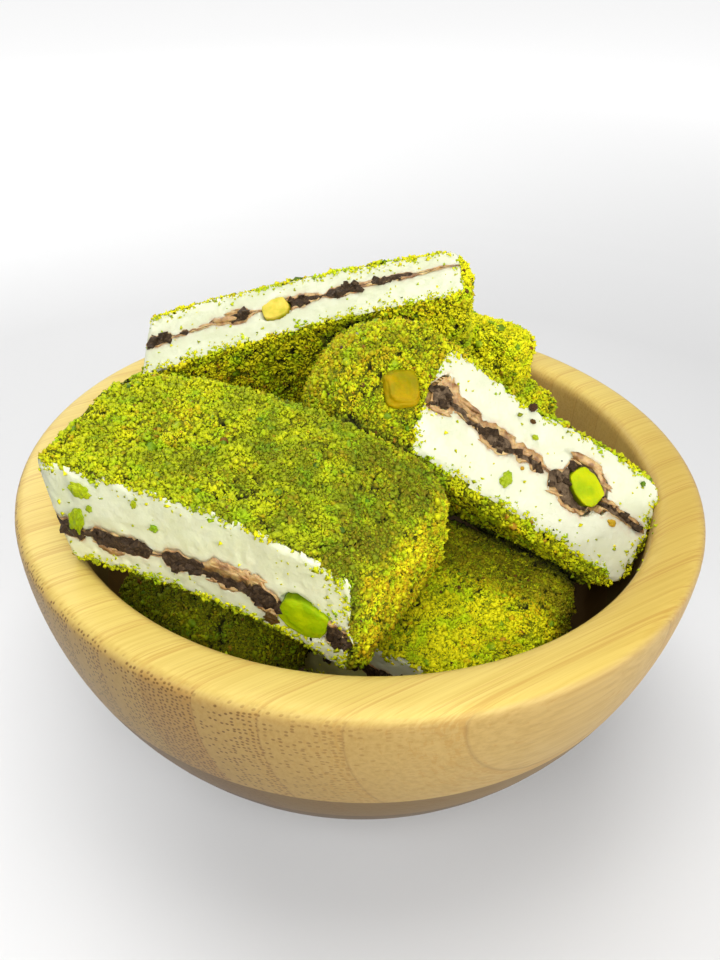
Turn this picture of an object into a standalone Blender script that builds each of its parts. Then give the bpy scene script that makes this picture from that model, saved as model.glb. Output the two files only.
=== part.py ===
"""A turned bamboo bowl holding seven slabs of nougat delight coated in ground pistachio.

Each cut slab is two layers of white nougat with a thin chocolate filling between them, and whole
pistachio kernels sit in the filling. The slabs lie in the bowl as they were dropped in: one hangs
over the front left of the lip, one leans across the right, and one stands at the back.
The origin is the middle of the bowl's base. X runs to the right, Y to the back and Z up.
"""

import math
from dataclasses import dataclass

import bmesh
import bpy
from mathutils import Matrix, Vector, noise

MM = 0.001
WELD = 0.01 * MM
SHARP_ANGLE = 40  # degrees; a flatter fold than this shades smoothly

# The bowl
BOWL_RADIUS = 60 * MM
BOWL_HEIGHT = 60 * MM
LIP_RISE = 3 * MM  # lip top above the widest circle
LIP_WIDTH = 8.6 * MM
LIP_SQUARENESS = 3.2  # 2 is a half ellipse, more is flatter on top
BOWL_DROP = 65.3 * MM  # depth of the full curve, which the flat base cuts short
BOWL_POINT = 1.734  # below 2, the side runs straighter than an ellipse
BOWL_BELLY = 0.027
WALL_AT_LIP = 8.4 * MM
WALL_AT_FLOOR = 7.2 * MM
FLOOR_HEIGHT = 9 * MM
FLOOR_BLEND = 12 * MM
BOWL_SIDES = 48
OUTER_STEPS = 8
LIP_STEPS = 4
INNER_STEPS = 6
INNER_START = 82  # degrees along the wall's curve, just under the lip
INNER_END = 28  # where the wall meets the floor

# What every slab shares
GAP = 0.34 * MM  # clearance between pieces that touch
CUT_ROUNDING = 0.06  # a knife-cut edge keeps this share of a coated edge's rounding
ROUNDING = 0.42  # radius of a coated edge, as a share of the thickness
ROUNDING_DEPTH = 0.85
ROUNDING_BAND = 1.2  # how far in from a side its rounding still acts, in radii
SURFACE_SWELL = 0.35 * MM  # slow unevenness of the big faces
SWELL_LENGTH = 16 * MM
FILLING_WAVE = 0.45 * MM
FILLING_WAVE_LENGTH = 13 * MM

LAYERED_GRID = (10, 6)  # faces along the length and the depth
PLAIN_GRID = (8, 5)
NOUGAT_LEVELS = 4
FILLING_LEVELS = 1
PLAIN_LEVELS = 5


@dataclass
class Slab:
    """One slab in its own axes: x along the length, y from the front cut to the back, z up."""

    name: str
    centre: tuple
    turn: tuple  # yaw, pitch (right end up) and roll (back edge up), in degrees
    length: float
    depth: float
    thickness: float
    coats: tuple  # how round each side is: front, right, back, left
    corners: tuple = (3 * MM, 3 * MM, 5 * MM, 5 * MM)  # in plan, front left and on round
    arch: float = 0.4 * MM  # rise of the middle
    droop: float = 0.0  # extra fall of the right end
    bow: float = 0.0  # bulge of the top face, right of the middle
    taper: float = 0.0  # gain in thickness towards the right
    skew_left: float = 0.0  # how far an end runs on at the back edge
    skew_right: float = 0.0
    lean_left: float = 0.0  # undercut of an end, as a slope
    lean_right: float = 0.0
    filling_at: tuple = (0.5, 0.5, 0.5)  # height of the filling at left, middle and right
    filling: float = 2.6 * MM

    def rotation(self):
        yaw, pitch, roll = (math.radians(angle) for angle in self.turn)
        return (
            Matrix.Rotation(yaw, 3, "Z")
            @ Matrix.Rotation(-pitch, 3, "Y")
            @ Matrix.Rotation(roll, 3, "X")
        )

    def matrix(self):
        return Matrix.Translation(self.centre) @ self.rotation().to_4x4()


FRONT = Slab(
    name="front_slab",
    centre=(-16.6 * MM, -21.6 * MM, 65.4 * MM),
    turn=(-16, -9.5, 1),
    length=51 * MM,
    depth=35 * MM,
    thickness=17.4 * MM,
    coats=(0, 0.4, 1, 0),
    corners=(1.5 * MM, 3 * MM, 9 * MM, 15 * MM),
    arch=2 * MM,
    droop=3 * MM,
    taper=0.03,
    skew_left=-1 * MM,
    skew_right=7 * MM,
    lean_left=-0.35,
    lean_right=0.1,
    filling_at=(0.37, 0.34, 0.36),
    filling=3.4 * MM,
)
REAR = Slab(
    name="rear_slab",
    centre=(-10 * MM, 25.3 * MM, 68.4 * MM),
    turn=(-1, 17, -62),
    length=61.5 * MM,
    depth=27 * MM,
    thickness=11.6 * MM,
    coats=(0, 0.8, 1, 0),
    corners=(2 * MM, 2 * MM, 4 * MM, 4 * MM),
    arch=1.9 * MM,
    skew_right=-5 * MM,
    lean_left=0.12,
    filling_at=(0.5, 0.48, 0.62),
    filling=2.3 * MM,
)
RIGHT = Slab(
    name="right_slab",
    centre=(18.2 * MM, 2.5 * MM, 60.2 * MM),
    turn=(-12, -26.6, -45),
    length=64 * MM,
    depth=28 * MM,
    thickness=18.6 * MM,
    coats=(0, 0.6, 1, 1),
    corners=(9 * MM, 1 * MM, 5 * MM, 14 * MM),
    arch=0.6 * MM,
    bow=1 * MM,
    taper=0.04,
    skew_left=-6.5 * MM,
    lean_left=-0.05,
    lean_right=-0.05,
    filling_at=(0.78, 0.51, 0.5),
    filling=2.9 * MM,
)
LOW = Slab(
    name="low_slab",
    centre=(15.2 * MM, -16.6 * MM, 37.8 * MM),
    turn=(-29, 0, 9),
    length=46 * MM,
    depth=33 * MM,
    thickness=12.8 * MM,
    coats=(0, 1, 1, 0),
    corners=(2 * MM, 16 * MM, 8 * MM, 3 * MM),
    filling_at=(0.52, 0.5, 0.5),
    filling=2.6 * MM,
)
BACK = Slab(
    name="back_slab",
    centre=(22.7 * MM, 36.6 * MM, 53.8 * MM),
    turn=(-32, 0, 84),
    length=24 * MM,
    depth=34 * MM,
    thickness=10.5 * MM,
    coats=(1, 1, 1, 1),
)
UNDER = Slab(
    name="under_slab",
    centre=(-27.8 * MM, -18 * MM, 38 * MM),
    turn=(-34, 0, -14),
    length=27.5 * MM,
    depth=20 * MM,
    thickness=13 * MM,
    coats=(1, 1, 1, 1),
    corners=(6 * MM, 5 * MM, 5 * MM, 6 * MM),
)
CORNER = Slab(
    name="corner_slab",
    centre=(32.6 * MM, 20.6 * MM, 54 * MM),
    turn=(-56, 0, 84),
    length=10 * MM,
    depth=20 * MM,
    thickness=7 * MM,
    coats=(1, 1, 1, 1),
    corners=(2.5 * MM, 2.5 * MM, 3 * MM, 3 * MM),
)
LAYERED = (FRONT, REAR, RIGHT, LOW)
PLAIN = (BACK, UNDER, CORNER)

# Kernels: slab, name, place in the slab's own axes, half sizes, turn in degrees about the y axis,
# and how far the kernel stands out of the front cut. None leaves it whole.
KERNELS = (
    (FRONT, "front_slab_kernel", (16.2, -15.2, -2.7), (4.3, 5.4, 3.6), 12, 0.2),
    (REAR, "rear_slab_kernel", (-3.6, -11.8, -0.2), (3.0, 4.2, 2.7), -12, 0.2),
    (RIGHT, "right_slab_cut_kernel", (18.9, -12.2, 0.6), (2.6, 4.6, 3.5), 20, 0.2),
    (RIGHT, "right_slab_end_kernel", (-18.6, -12.2, 1.6), (3.4, 3.2, 3.1), 8, None),
)
KERNEL_DETAIL = 2


def material(name, colour, roughness):
    made = bpy.data.materials.new(name)
    made.use_nodes = True
    shader = made.node_tree.nodes["Principled BSDF"]
    shader.inputs["Base Color"].default_value = (*colour, 1)
    shader.inputs["Roughness"].default_value = roughness
    shader.inputs["Metallic"].default_value = 0
    return made


def add_object(name, bm, finish):
    """Turns a bmesh into a smooth-shaded object with outward faces."""
    bmesh.ops.recalc_face_normals(bm, faces=bm.faces)
    mesh = bpy.data.meshes.new(name)
    bm.to_mesh(mesh)
    bm.free()
    mesh.shade_smooth()
    mesh.set_sharp_from_angle(angle=math.radians(SHARP_ANGLE))
    mesh.materials.append(finish)
    made = bpy.data.objects.new(name, mesh)
    bpy.context.scene.collection.objects.link(made)
    return made


# The bowl ----------------------------------------------------------------------------------------


def outer_point(angle):
    """A point (radius, height) of the outer curve, from 0 at the axis to 90 degrees at the side."""
    power = 2 / BOWL_POINT
    swell = 1 + BOWL_BELLY * math.sin(2 * angle) ** 2
    radius = BOWL_RADIUS * math.sin(angle) ** power * swell
    height = BOWL_HEIGHT - LIP_RISE - BOWL_DROP * math.cos(angle) ** power
    return radius, height


def base_angle():
    """The angle at which the outer curve reaches the flat base, by halving."""
    low, high = 0.0, math.pi / 2
    for _ in range(40):
        middle = (low + high) / 2
        if outer_point(middle)[1] < 0:
            low = middle
        else:
            high = middle
    return high


def lip_point(angle):
    """A point of the lip, from 0 at the widest circle to 180 degrees at the inner edge."""
    power = 2 / LIP_SQUARENESS
    across = math.copysign(abs(math.cos(angle)) ** power, math.cos(angle))
    radius = BOWL_RADIUS - LIP_WIDTH / 2 + across * LIP_WIDTH / 2
    height = BOWL_HEIGHT - LIP_RISE + LIP_RISE * math.sin(angle) ** power
    return radius, height


def inner_point(angle):
    """The outer curve moved inwards by the wall, square to it."""
    step = 0.001
    radius, height = outer_point(angle)
    ahead = outer_point(angle + step)
    behind = outer_point(angle - step)
    along = Vector((ahead[0] - behind[0], ahead[1] - behind[1])).normalized()
    share = math.sin(angle)
    wall = WALL_AT_FLOOR + (WALL_AT_LIP - WALL_AT_FLOOR) * share
    return radius - along.y * wall, height + along.x * wall


def bowl_profile():
    start = base_angle()
    points = [(0.0, 0.0)]
    for step in range(OUTER_STEPS + 1):
        points.append(outer_point(start + (math.pi / 2 - start) * step / OUTER_STEPS))
    for step in range(1, LIP_STEPS * 2 + 1):
        points.append(lip_point(math.pi * step / (LIP_STEPS * 2 + 0.001)))
    for step in range(INNER_STEPS + 1):
        angle = INNER_START + (INNER_END - INNER_START) * step / INNER_STEPS
        points.append(inner_point(math.radians(angle)))
    points.append((FLOOR_BLEND, FLOOR_HEIGHT))
    points.append((0.0, FLOOR_HEIGHT))
    return points


def make_bowl(finish):
    bm = bmesh.new()
    line = [bm.verts.new((radius, 0, height)) for radius, height in bowl_profile()]
    edges = [bm.edges.new(pair) for pair in zip(line, line[1:])]
    bmesh.ops.spin(
        bm,
        geom=line + edges,
        cent=(0, 0, 0),
        axis=(0, 0, 1),
        angle=math.tau,
        steps=BOWL_SIDES,
        use_merge=True,
    )
    bmesh.ops.remove_doubles(bm, verts=bm.verts, dist=WELD)
    return add_object("bowl", bm, finish)


# The slabs ---------------------------------------------------------------------------------------


def spread(value):
    """Packs grid lines towards both ends of -1 to 1, where the edges turn."""
    return math.sin(value * math.pi / 2)


def round_corner(x, y, slab):
    """Moves a point of the square plan onto its rounded outline."""
    signs = ((-1, -1), (1, -1), (1, 1), (-1, 1))
    for (side_x, side_y), radius in zip(signs, slab.corners):
        past_x = x * side_x - (slab.length / 2 - radius)
        past_y = y * side_y - (slab.depth / 2 - radius)
        if past_x <= 0 or past_y <= 0:
            continue
        shrink = max(past_x, past_y) / math.hypot(past_x, past_y)
        x = side_x * (slab.length / 2 - radius + past_x * shrink)
        y = side_y * (slab.depth / 2 - radius + past_y * shrink)
    return x, y


def round_edges(x, y, z, slab):
    """Draws the sides in near the top and bottom faces: far on a coated side, barely on a cut."""
    radius = slab.thickness * ROUNDING
    past = max(0.0, min(1.0, (abs(z) - (slab.thickness / 2 - radius)) / radius))
    inset = radius * (1 - math.sqrt(1 - 0.999 * past * past)) * ROUNDING_DEPTH
    band = radius * ROUNDING_BAND
    front, right, back, left = (max(coat, CUT_ROUNDING) for coat in slab.coats)
    near_right = max(0.0, min(1.0, (x - slab.length / 2 + band) / band))
    near_left = max(0.0, min(1.0, (-x - slab.length / 2 + band) / band))
    near_back = max(0.0, min(1.0, (y - slab.depth / 2 + band) / band))
    near_front = max(0.0, min(1.0, (-y - slab.depth / 2 + band) / band))
    x += inset * (near_left * left - near_right * right)
    y += inset * (near_front * front - near_back * back)
    return x, y


def bend(x, y, z, slab):
    """Skews, leans, arches and droops the slab, as soft nougat does."""
    along = 2 * x / slab.length
    across = 2 * y / slab.depth
    to_left = max(0.0, -along)
    to_right = max(0.0, along)
    x += (to_left * slab.skew_left + to_right * slab.skew_right) * across / 2
    x += (to_left * slab.lean_left + to_right * slab.lean_right) * z
    z *= 1 + slab.taper * along
    if z > 0:
        z += slab.bow * 4 * min(1.0, to_right) * (1 - min(1.0, to_right))
    z += slab.arch * (1 - along * along) - slab.droop * to_right**2
    return Vector((x, y, z))


def wave(x, y, length, seed):
    return noise.noise(Vector((x / length, y / length, seed)))


def filling_height(x, y, slab):
    """Height of the filling's middle in the slab, on a curve through its three stated heights."""
    along = 2 * x / slab.length
    left, middle, right = slab.filling_at
    share = middle + (right - left) / 2 * along + ((left + right) / 2 - middle) * along * along
    seed = len(slab.name)
    return slab.thickness * (share - 0.5) + FILLING_WAVE * wave(x, y, FILLING_WAVE_LENGTH, seed)


def skin_height(x, y, slab, side):
    """Height of the top face (side 1) or the bottom face (side -1)."""
    swell = SURFACE_SWELL * wave(x, y, SWELL_LENGTH, side * 3 + len(slab.name))
    return side * (slab.thickness / 2 + swell)


def layer_bounds(x, y, slab, layer):
    """The lowest and highest point of a layer at one place in plan."""
    bottom = skin_height(x, y, slab, -1)
    top = skin_height(x, y, slab, 1)
    if layer == "whole":
        return bottom, top
    middle = filling_height(x, y, slab)
    half = slab.filling / 2
    if layer == "filling":
        return middle - half, middle + half
    if layer == "nougat_base":
        return bottom, middle - half - GAP
    return middle + half + GAP, top


def make_layer(slab, layer, grid, levels, finish):
    """A block of grid faces, then every vertex moved to its place in the layer."""
    bm = bmesh.new()
    bmesh.ops.create_grid(bm, x_segments=grid[0], y_segments=grid[1], size=1)
    front = list(bm.faces)
    for level in range(levels):
        made = bmesh.ops.extrude_face_region(bm, geom=front)
        if level > 0:
            bmesh.ops.delete(bm, geom=front, context="FACES")
        front = [item for item in made["geom"] if isinstance(item, bmesh.types.BMFace)]
        corners = [item for item in made["geom"] if isinstance(item, bmesh.types.BMVert)]
        bmesh.ops.translate(bm, verts=corners, vec=(0, 0, 1 / levels))
    for vertex in bm.verts:
        x = spread(vertex.co.x) * slab.length / 2
        y = spread(vertex.co.y) * slab.depth / 2
        x, y = round_corner(x, y, slab)
        bottom, top = layer_bounds(x, y, slab, layer)
        z = bottom + (top - bottom) * vertex.co.z
        x, y = round_edges(x, y, z, slab)
        vertex.co = bend(x, y, z, slab)
    name = slab.name if layer == "whole" else f"{slab.name}_{layer}"
    made = add_object(name, bm, finish)
    made.matrix_world = slab.matrix()
    return made


def kernel_shape(slab, place, halves, turn, growth, stand_out):
    """An egg-shaped kernel in the slab's axes, cut level with the front if it stands out there."""
    bm = bmesh.new()
    bmesh.ops.create_icosphere(bm, subdivisions=KERNEL_DETAIL, radius=1)
    sizes = [half * MM + growth for half in halves]
    bmesh.ops.scale(bm, vec=sizes, verts=bm.verts)
    bmesh.ops.rotate(bm, matrix=Matrix.Rotation(math.radians(turn), 3, "Y"), verts=bm.verts)
    x, y, z = (value * MM for value in place)
    bmesh.ops.translate(bm, vec=bend(x, y, z, slab), verts=bm.verts)
    if stand_out is None:
        return bm
    level = Vector((0, -slab.depth / 2 - stand_out * MM, 0))
    everything = bm.verts[:] + bm.edges[:] + bm.faces[:]
    cut = bmesh.ops.bisect_plane(
        bm, geom=everything, dist=WELD, plane_co=level, plane_no=(0, -1, 0), clear_outer=True
    )
    rim = [item for item in cut["geom_cut"] if isinstance(item, bmesh.types.BMEdge)]
    bmesh.ops.edgeloop_fill(bm, edges=rim)
    return bm


def make_kernel(slab, name, place, halves, turn, stand_out, finish, layers):
    """The kernel, and the hollow that it fills in each layer that it meets."""
    kernel = add_object(name, kernel_shape(slab, place, halves, turn, 0, stand_out), finish)
    kernel.matrix_world = slab.matrix()
    cutter = add_object(f"{name}_hollow", kernel_shape(slab, place, halves, turn, GAP, None), finish)
    cutter.matrix_world = slab.matrix()
    cutter.hide_render = True
    cutter.display_type = "WIRE"
    for layer in layers:
        hollow = layer.modifiers.new(f"{name}_hollow", "BOOLEAN")
        hollow.operation = "DIFFERENCE"
        hollow.solver = "EXACT"
        hollow.object = cutter


def main():
    for old in list(bpy.data.objects):
        bpy.data.objects.remove(old)
    bamboo = material("bamboo", (0.62, 0.44, 0.22), 0.45)
    nougat = material("nougat", (0.86, 0.85, 0.78), 0.6)
    chocolate = material("chocolate_filling", (0.06, 0.04, 0.035), 0.5)
    crust = material("pistachio_crust", (0.30, 0.36, 0.02), 0.9)
    kernel_green = material("pistachio_kernel", (0.36, 0.50, 0.04), 0.5)
    make_bowl(bamboo)
    layers = {}
    for slab in LAYERED:
        layers[slab.name] = [
            make_layer(slab, "nougat_base", LAYERED_GRID, NOUGAT_LEVELS, nougat),
            make_layer(slab, "filling", LAYERED_GRID, FILLING_LEVELS, chocolate),
            make_layer(slab, "nougat_top", LAYERED_GRID, NOUGAT_LEVELS, nougat),
        ]
    for slab in PLAIN:
        make_layer(slab, "whole", PLAIN_GRID, PLAIN_LEVELS, crust)
    for slab, name, place, halves, turn, stand_out in KERNELS:
        make_kernel(slab, name, place, halves, turn, stand_out, kernel_green, layers[slab.name])


main()
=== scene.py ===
# %% [markdown]
# # Nougat delight in a bamboo bowl
# A turned bamboo bowl holds seven slabs of nougat delight. Each slab is two layers of white
# whipped nougat with a broken line of chocolate and caramel between them, whole pistachio
# kernels in that line, and ground pistachio pressed on every face that the knife did not cut.
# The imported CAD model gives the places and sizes. This script gives each part its real surface.

# %% The frame
import math
from dataclasses import dataclass

import bmesh
import bpy
import numpy as np
from mathutils import Matrix, Vector, noise
from mathutils.bvhtree import BVHTree
from mathutils.kdtree import KDTree


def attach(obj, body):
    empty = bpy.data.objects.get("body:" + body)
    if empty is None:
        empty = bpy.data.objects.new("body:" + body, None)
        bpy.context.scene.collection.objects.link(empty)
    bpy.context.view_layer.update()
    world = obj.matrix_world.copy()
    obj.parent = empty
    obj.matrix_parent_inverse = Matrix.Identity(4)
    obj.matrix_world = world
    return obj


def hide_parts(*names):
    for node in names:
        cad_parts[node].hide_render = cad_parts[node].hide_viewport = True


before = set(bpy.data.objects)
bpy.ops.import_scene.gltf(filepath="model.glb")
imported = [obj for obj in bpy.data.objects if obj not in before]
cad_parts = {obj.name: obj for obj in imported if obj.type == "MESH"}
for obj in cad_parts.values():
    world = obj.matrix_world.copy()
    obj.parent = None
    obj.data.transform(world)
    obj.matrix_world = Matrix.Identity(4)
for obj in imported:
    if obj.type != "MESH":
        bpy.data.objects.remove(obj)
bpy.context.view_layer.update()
MM = 0.001

# %% [markdown]
# ## Camera and light
# The bowl is seen from close by and above, so its far side is clearly smaller than its near
# side. Six soft lamps light it. The strongest ones stand in front and low at the right, where
# they light the cuts, and the one overhead is for the tops. The surroundings give almost no
# light, so the gaps between the slabs stay dark. The view is kept plain, so that colours come
# out as they are stated.

# %% Camera
scene = bpy.context.scene
scene.view_settings.view_transform = "Standard"
camera = bpy.data.objects.new("camera", bpy.data.cameras.new("camera"))
camera.data.lens = 33.75
camera.data.sensor_width = 36
camera.data.clip_start = 0.01
CAMERA_PLACE = (0, -0.1354047, 0.1499183)
CAMERA_RIGHT = (0.9992224, 0.0241656, 0.0311549)
CAMERA_UP = (-0.0393850, 0.5746518, 0.8174498)
CAMERA_BACK = (0.0018509, -0.8180411, 0.5751567)
turned = Matrix((CAMERA_RIGHT, CAMERA_UP, CAMERA_BACK)).transposed()
camera.matrix_world = Matrix.Translation(CAMERA_PLACE) @ turned.to_4x4()
scene.collection.objects.link(camera)
scene.camera = camera
print("camera:", camera.data.lens, "mm lens at", CAMERA_PLACE)

# %% Lamps and surroundings
LAMP_SIZE = 0.3
AIM = Vector((0, 0, 0.05))
LAMPS = (
    # name, place in metres, energy in watts
    ("overhead_lamp", (0, 0, 0.55), 1.3),
    ("front_lamp", (0, -0.4, 0.42), 1.75),
    ("low_right_lamp", (0.42, -0.4, 0.14), 2.1),
    ("left_lamp", (-0.35, -0.3, 0.35), 0.5),
    ("back_lamp", (0, 0.45, 0.35), 0.3),
    ("left_back_lamp", (-0.3, 0.35, 0.35), 1.05),
)
for name, place, energy in LAMPS:
    lamp = bpy.data.objects.new(name, bpy.data.lights.new(name, "AREA"))
    lamp.data.size = LAMP_SIZE
    lamp.data.energy = energy
    lamp.location = place
    lamp.rotation_euler = (AIM - Vector(place)).to_track_quat("-Z", "Y").to_euler()
    lamp.visible_camera = False
    scene.collection.objects.link(lamp)
world = bpy.data.worlds.new("studio")
world.use_nodes = True
world.node_tree.nodes["Background"].inputs["Color"].default_value = (1, 1, 1, 1)
world.node_tree.nodes["Background"].inputs["Strength"].default_value = 0.01
scene.world = world
print("lamps:", len(LAMPS), "with", sum(energy for _, _, energy in LAMPS), "W in all")

# %% [markdown]
# ## Building materials from nodes
# Every finish here is a small network that ends in one Principled shader. These helpers keep
# such a network readable: each adds one node and gives back the socket that it puts out.


# %% Helpers for materials
class Finish:
    """A material and the short calls that add nodes to it."""

    def __init__(self, name, **values):
        self.material = bpy.data.materials.new(name)
        self.material.use_nodes = True
        self.shader = self.material.node_tree.nodes["Principled BSDF"]
        self.put(self.shader, values)

    def put(self, node, values):
        """Sets sockets, by number or name, to plain values or to the outputs of nodes."""
        for name, value in values.items():
            socket = node.inputs[name.replace("_", " ") if isinstance(name, str) else name]
            if isinstance(value, bpy.types.NodeSocket):
                self.material.node_tree.links.new(value, socket)
            elif socket.type == "RGBA" and len(value) == 3:
                socket.default_value = (*value, 1)
            else:
                socket.default_value = value

    def add(self, kind, *sockets, output=0, settings=None, **values):
        """A new node, with its first sockets given in order and others by name."""
        node = self.material.node_tree.nodes.new(f"ShaderNode{kind}")
        for name, value in (settings or {}).items():
            setattr(node, name, value)
        self.put(node, {**dict(enumerate(sockets)), **values})
        return node.outputs[output]

    def attribute(self, name):
        return self.add("Attribute", output="Fac", settings={"attribute_name": name})

    def place(self, turn=0.0):
        """Object coordinates in millimetres, turned about Z in degrees."""
        where, turns = self.add("TexCoord", output="Object"), (0, 0, math.radians(turn))
        return self.add("Mapping", Vector=where, Rotation=turns, Scale=(1 / MM, 1 / MM, 1 / MM))

    def vector(self, operation, *sockets, output=0):
        return self.add("VectorMath", *sockets, output=output, settings={"operation": operation})

    def math(self, operation, first, second=0.0, third=0.0, clamp=False):
        settings = {"operation": operation, "use_clamp": clamp}
        return self.add("Math", first, second, third, settings=settings)

    def times(self, first, second, clamp=False):
        return self.math("MULTIPLY", first, second, clamp=clamp)

    def line(self, value, slope, start, clamp=False):
        """The value times a slope, plus a start."""
        return self.math("MULTIPLY_ADD", value, slope, start, clamp)

    def noise(self, where, scale, detail=2.0, roughness=0.5):
        """Noise with one scale, or with a scale for each axis."""
        if isinstance(scale, tuple):
            where, scale = self.vector("MULTIPLY", where, scale), 1.0
        return self.add("TexNoise", Vector=where, Scale=scale, Detail=detail, Roughness=roughness)

    def ramp(self, factor, *stops):
        """A colour ramp through stops of (place, colour or grey)."""
        made = self.add("ValToRGB", factor)
        elements = made.node.color_ramp.elements
        while len(elements) < len(stops):
            elements.new(0.5)
        for element, (position, colour) in zip(elements, stops):
            element.position = position
            element.color = (*np.broadcast_to(colour, 3), 1)
        return made

    def mix(self, factor, first, second, blend="MIX"):
        made = self.add("Mix", output=2, settings={"data_type": "RGBA", "blend_type": blend})
        self.put(made.node, {0: factor, 6: first, 7: second})
        return made

    def tinted(self, colour, tint):
        return self.mix(1.0, colour, tint, "MULTIPLY")

    def paint(self, colour, height=None, deepest=0.0, strength=1.0):
        """Gives the shader its colour, and bumps that are so many millimetres deep."""
        self.put(self.shader, {"Base Color": colour})
        if height is not None:
            bumps = self.add("Bump", Height=height, Distance=deepest * MM, Strength=strength)
            self.put(self.shader, {"Normal": bumps})


WHITE = (1.0, 1.0, 1.0)


def srgb(red, green, blue):
    """A colour given in the 0 to 255 of a paint chart, made linear."""
    shares = [value / 255 for value in (red, green, blue)]
    return tuple(
        share / 12.92 if share <= 0.04045 else ((share + 0.055) / 1.055) ** 2.4
        for share in shares
    )


# %% Helpers for pieces
def as_mesh(bm, name):
    mesh = bpy.data.meshes.new(name)
    bm.to_mesh(mesh)
    bm.free()
    return mesh


def shade_smooth(bm):
    for face in bm.faces:
        face.smooth = True


def add_piece(name, mesh, finishes, slot, replaces=()):
    """Puts a finished mesh in the scene as a piece that rides with the bowl."""
    mesh.name = name
    for finish in finishes:
        mesh.materials.append(finish.material)
    piece = bpy.data.objects.new(name, mesh)
    scene.collection.objects.link(piece)
    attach(piece, "root")
    if replaces:
        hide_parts(*replaces)
    print(name, len(mesh.polygons), "faces")
    return piece


def read(items, name, width=3, kind=float):
    """A value or a point of each vertex, corner or face, as an array."""
    values = np.empty(len(items) * width, kind)
    items.foreach_get(name, values)
    return values.reshape(-1, width) if width > 1 else values


def points_of(mesh):
    return read(mesh.vertices, "co")


def normals_of(mesh):
    return read(mesh.vertices, "normal")


def write_values(mesh, name, values):
    """Stores a value at each vertex, for a finish to read."""
    mesh.attributes.new(name, "FLOAT", "POINT").data.foreach_set("value", values)


def move_points(mesh, points):
    mesh.vertices.foreach_set("co", points.ravel())
    mesh.update()


def ripples(points, *parts):
    """Smooth noise at each point, added up from parts of (height, length of a lump, seed)."""
    total = 0
    for height, length, seed in parts:
        places = (points / length + seed * 7.3).tolist()
        total = total + height * np.array([noise.noise(place) for place in places])
    return total


def flat_ripples(x, y, *parts):
    """The same over a plane, where each seed picks another level of the noise."""
    total = 0
    for height, length, seed in parts:
        points = np.stack([x, y, np.full_like(x, seed * length)], axis=1)
        total = total + ripples(points, (height, length, 0))
    return total


# %% [markdown]
# ## The bowl
# The bowl is turned from a block of bamboo strips glued side by side. The strips are about 7 mm
# thick, stand upright, and their fibres run level from the front left to the back right. So the
# lip shows the fibres from the side, as long streaks, and the front left of the wall cuts them
# across, as rows of small dark dots. One pattern in space, long along the fibre, gives both.
# The shape is one outline, spun about the axis.

# %% Outline of the bowl
BOWL_RADIUS = 60.0
BOWL_HEIGHT = 60.0
LIP_RISE = 3.0
LIP_WIDTH = 8.6
LIP_SQUARENESS = 3.2
BOWL_DROP = 65.3
BOWL_POINT = 1.734
BOWL_BELLY = 0.027
WALL_AT_LIP = 8.4
WALL_AT_FLOOR = 7.2
FLOOR_HEIGHT = 9.0
FLAT_RADII = (0, 12, 24)  # rings of the flat foot
FOOT_EDGE = 0.6
TURNS_OF_SPIN = 160


def outer_point(angle):
    power = 2 / BOWL_POINT
    swell = 1 + BOWL_BELLY * math.sin(2 * angle) ** 2
    radius = BOWL_RADIUS * math.sin(angle) ** power * swell
    return radius, BOWL_HEIGHT - LIP_RISE - BOWL_DROP * max(0, math.cos(angle)) ** power


def lip_point(angle):
    power = 2 / LIP_SQUARENESS
    across = math.copysign(abs(math.cos(angle)) ** power, math.cos(angle))
    radius = BOWL_RADIUS - LIP_WIDTH / 2 + across * LIP_WIDTH / 2
    return radius, BOWL_HEIGHT - LIP_RISE + LIP_RISE * abs(math.sin(angle)) ** power


def inner_point(angle, step=0.001):
    radius, height = outer_point(angle)
    ahead, behind = outer_point(angle + step), outer_point(angle - step)
    along = Vector((ahead[0] - behind[0], ahead[1] - behind[1])).normalized()
    wall = WALL_AT_FLOOR + (WALL_AT_LIP - WALL_AT_FLOOR) * math.sin(angle)
    return radius - along.y * wall, height + along.x * wall


def bowl_outline():
    """Points (radius, height) from the middle of the base, over the lip, to the floor."""
    start = min(angle for angle in np.linspace(0.3, 1, 2001) if outer_point(angle)[1] > 0)
    outline = [(radius, 0.0) for radius in (*FLAT_RADII, outer_point(start)[0] - FOOT_EDGE)]
    outline += [outer_point(angle) for angle in np.linspace(start + 0.015, math.pi / 2, 26)]
    outline += [lip_point(angle) for angle in np.linspace(0.04, math.pi - 0.04, 23)]
    outline += [inner_point(math.radians(angle)) for angle in np.linspace(82, 28, 22)]
    return outline + [(FLAT_RADII[1], FLOOR_HEIGHT), (0.0, FLOOR_HEIGHT)]


print("outline of the bowl:", len(bowl_outline()), "points")


# %% Spin of the bowl
def spin_bowl():
    bm = bmesh.new()
    line = [bm.verts.new((radius * MM, 0, height * MM)) for radius, height in bowl_outline()]
    edges = [bm.edges.new(pair) for pair in zip(line, line[1:])]
    spun = {"cent": (0, 0, 0), "axis": (0, 0, 1), "angle": math.tau, "steps": TURNS_OF_SPIN}
    bmesh.ops.spin(bm, geom=line + edges, use_merge=True, **spun)
    bmesh.ops.remove_doubles(bm, verts=bm.verts, dist=0.001 * MM)
    bmesh.ops.recalc_face_normals(bm, faces=bm.faces)
    shade_smooth(bm)
    return as_mesh(bm, "bowl")


# %% Boards and strips of bamboo
FIBRE_TURN = 32.5  # degrees from X to the fibres
STRIP = 7.05  # thickness of a strip, mm
FIRST_SEAM = -21.75
LAYER_SEAM = 37.5  # height of the glue line between the two boards
LOWER_SHIFT = 0.45  # how far the lower board's strips are shifted, as a share of a strip


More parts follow.
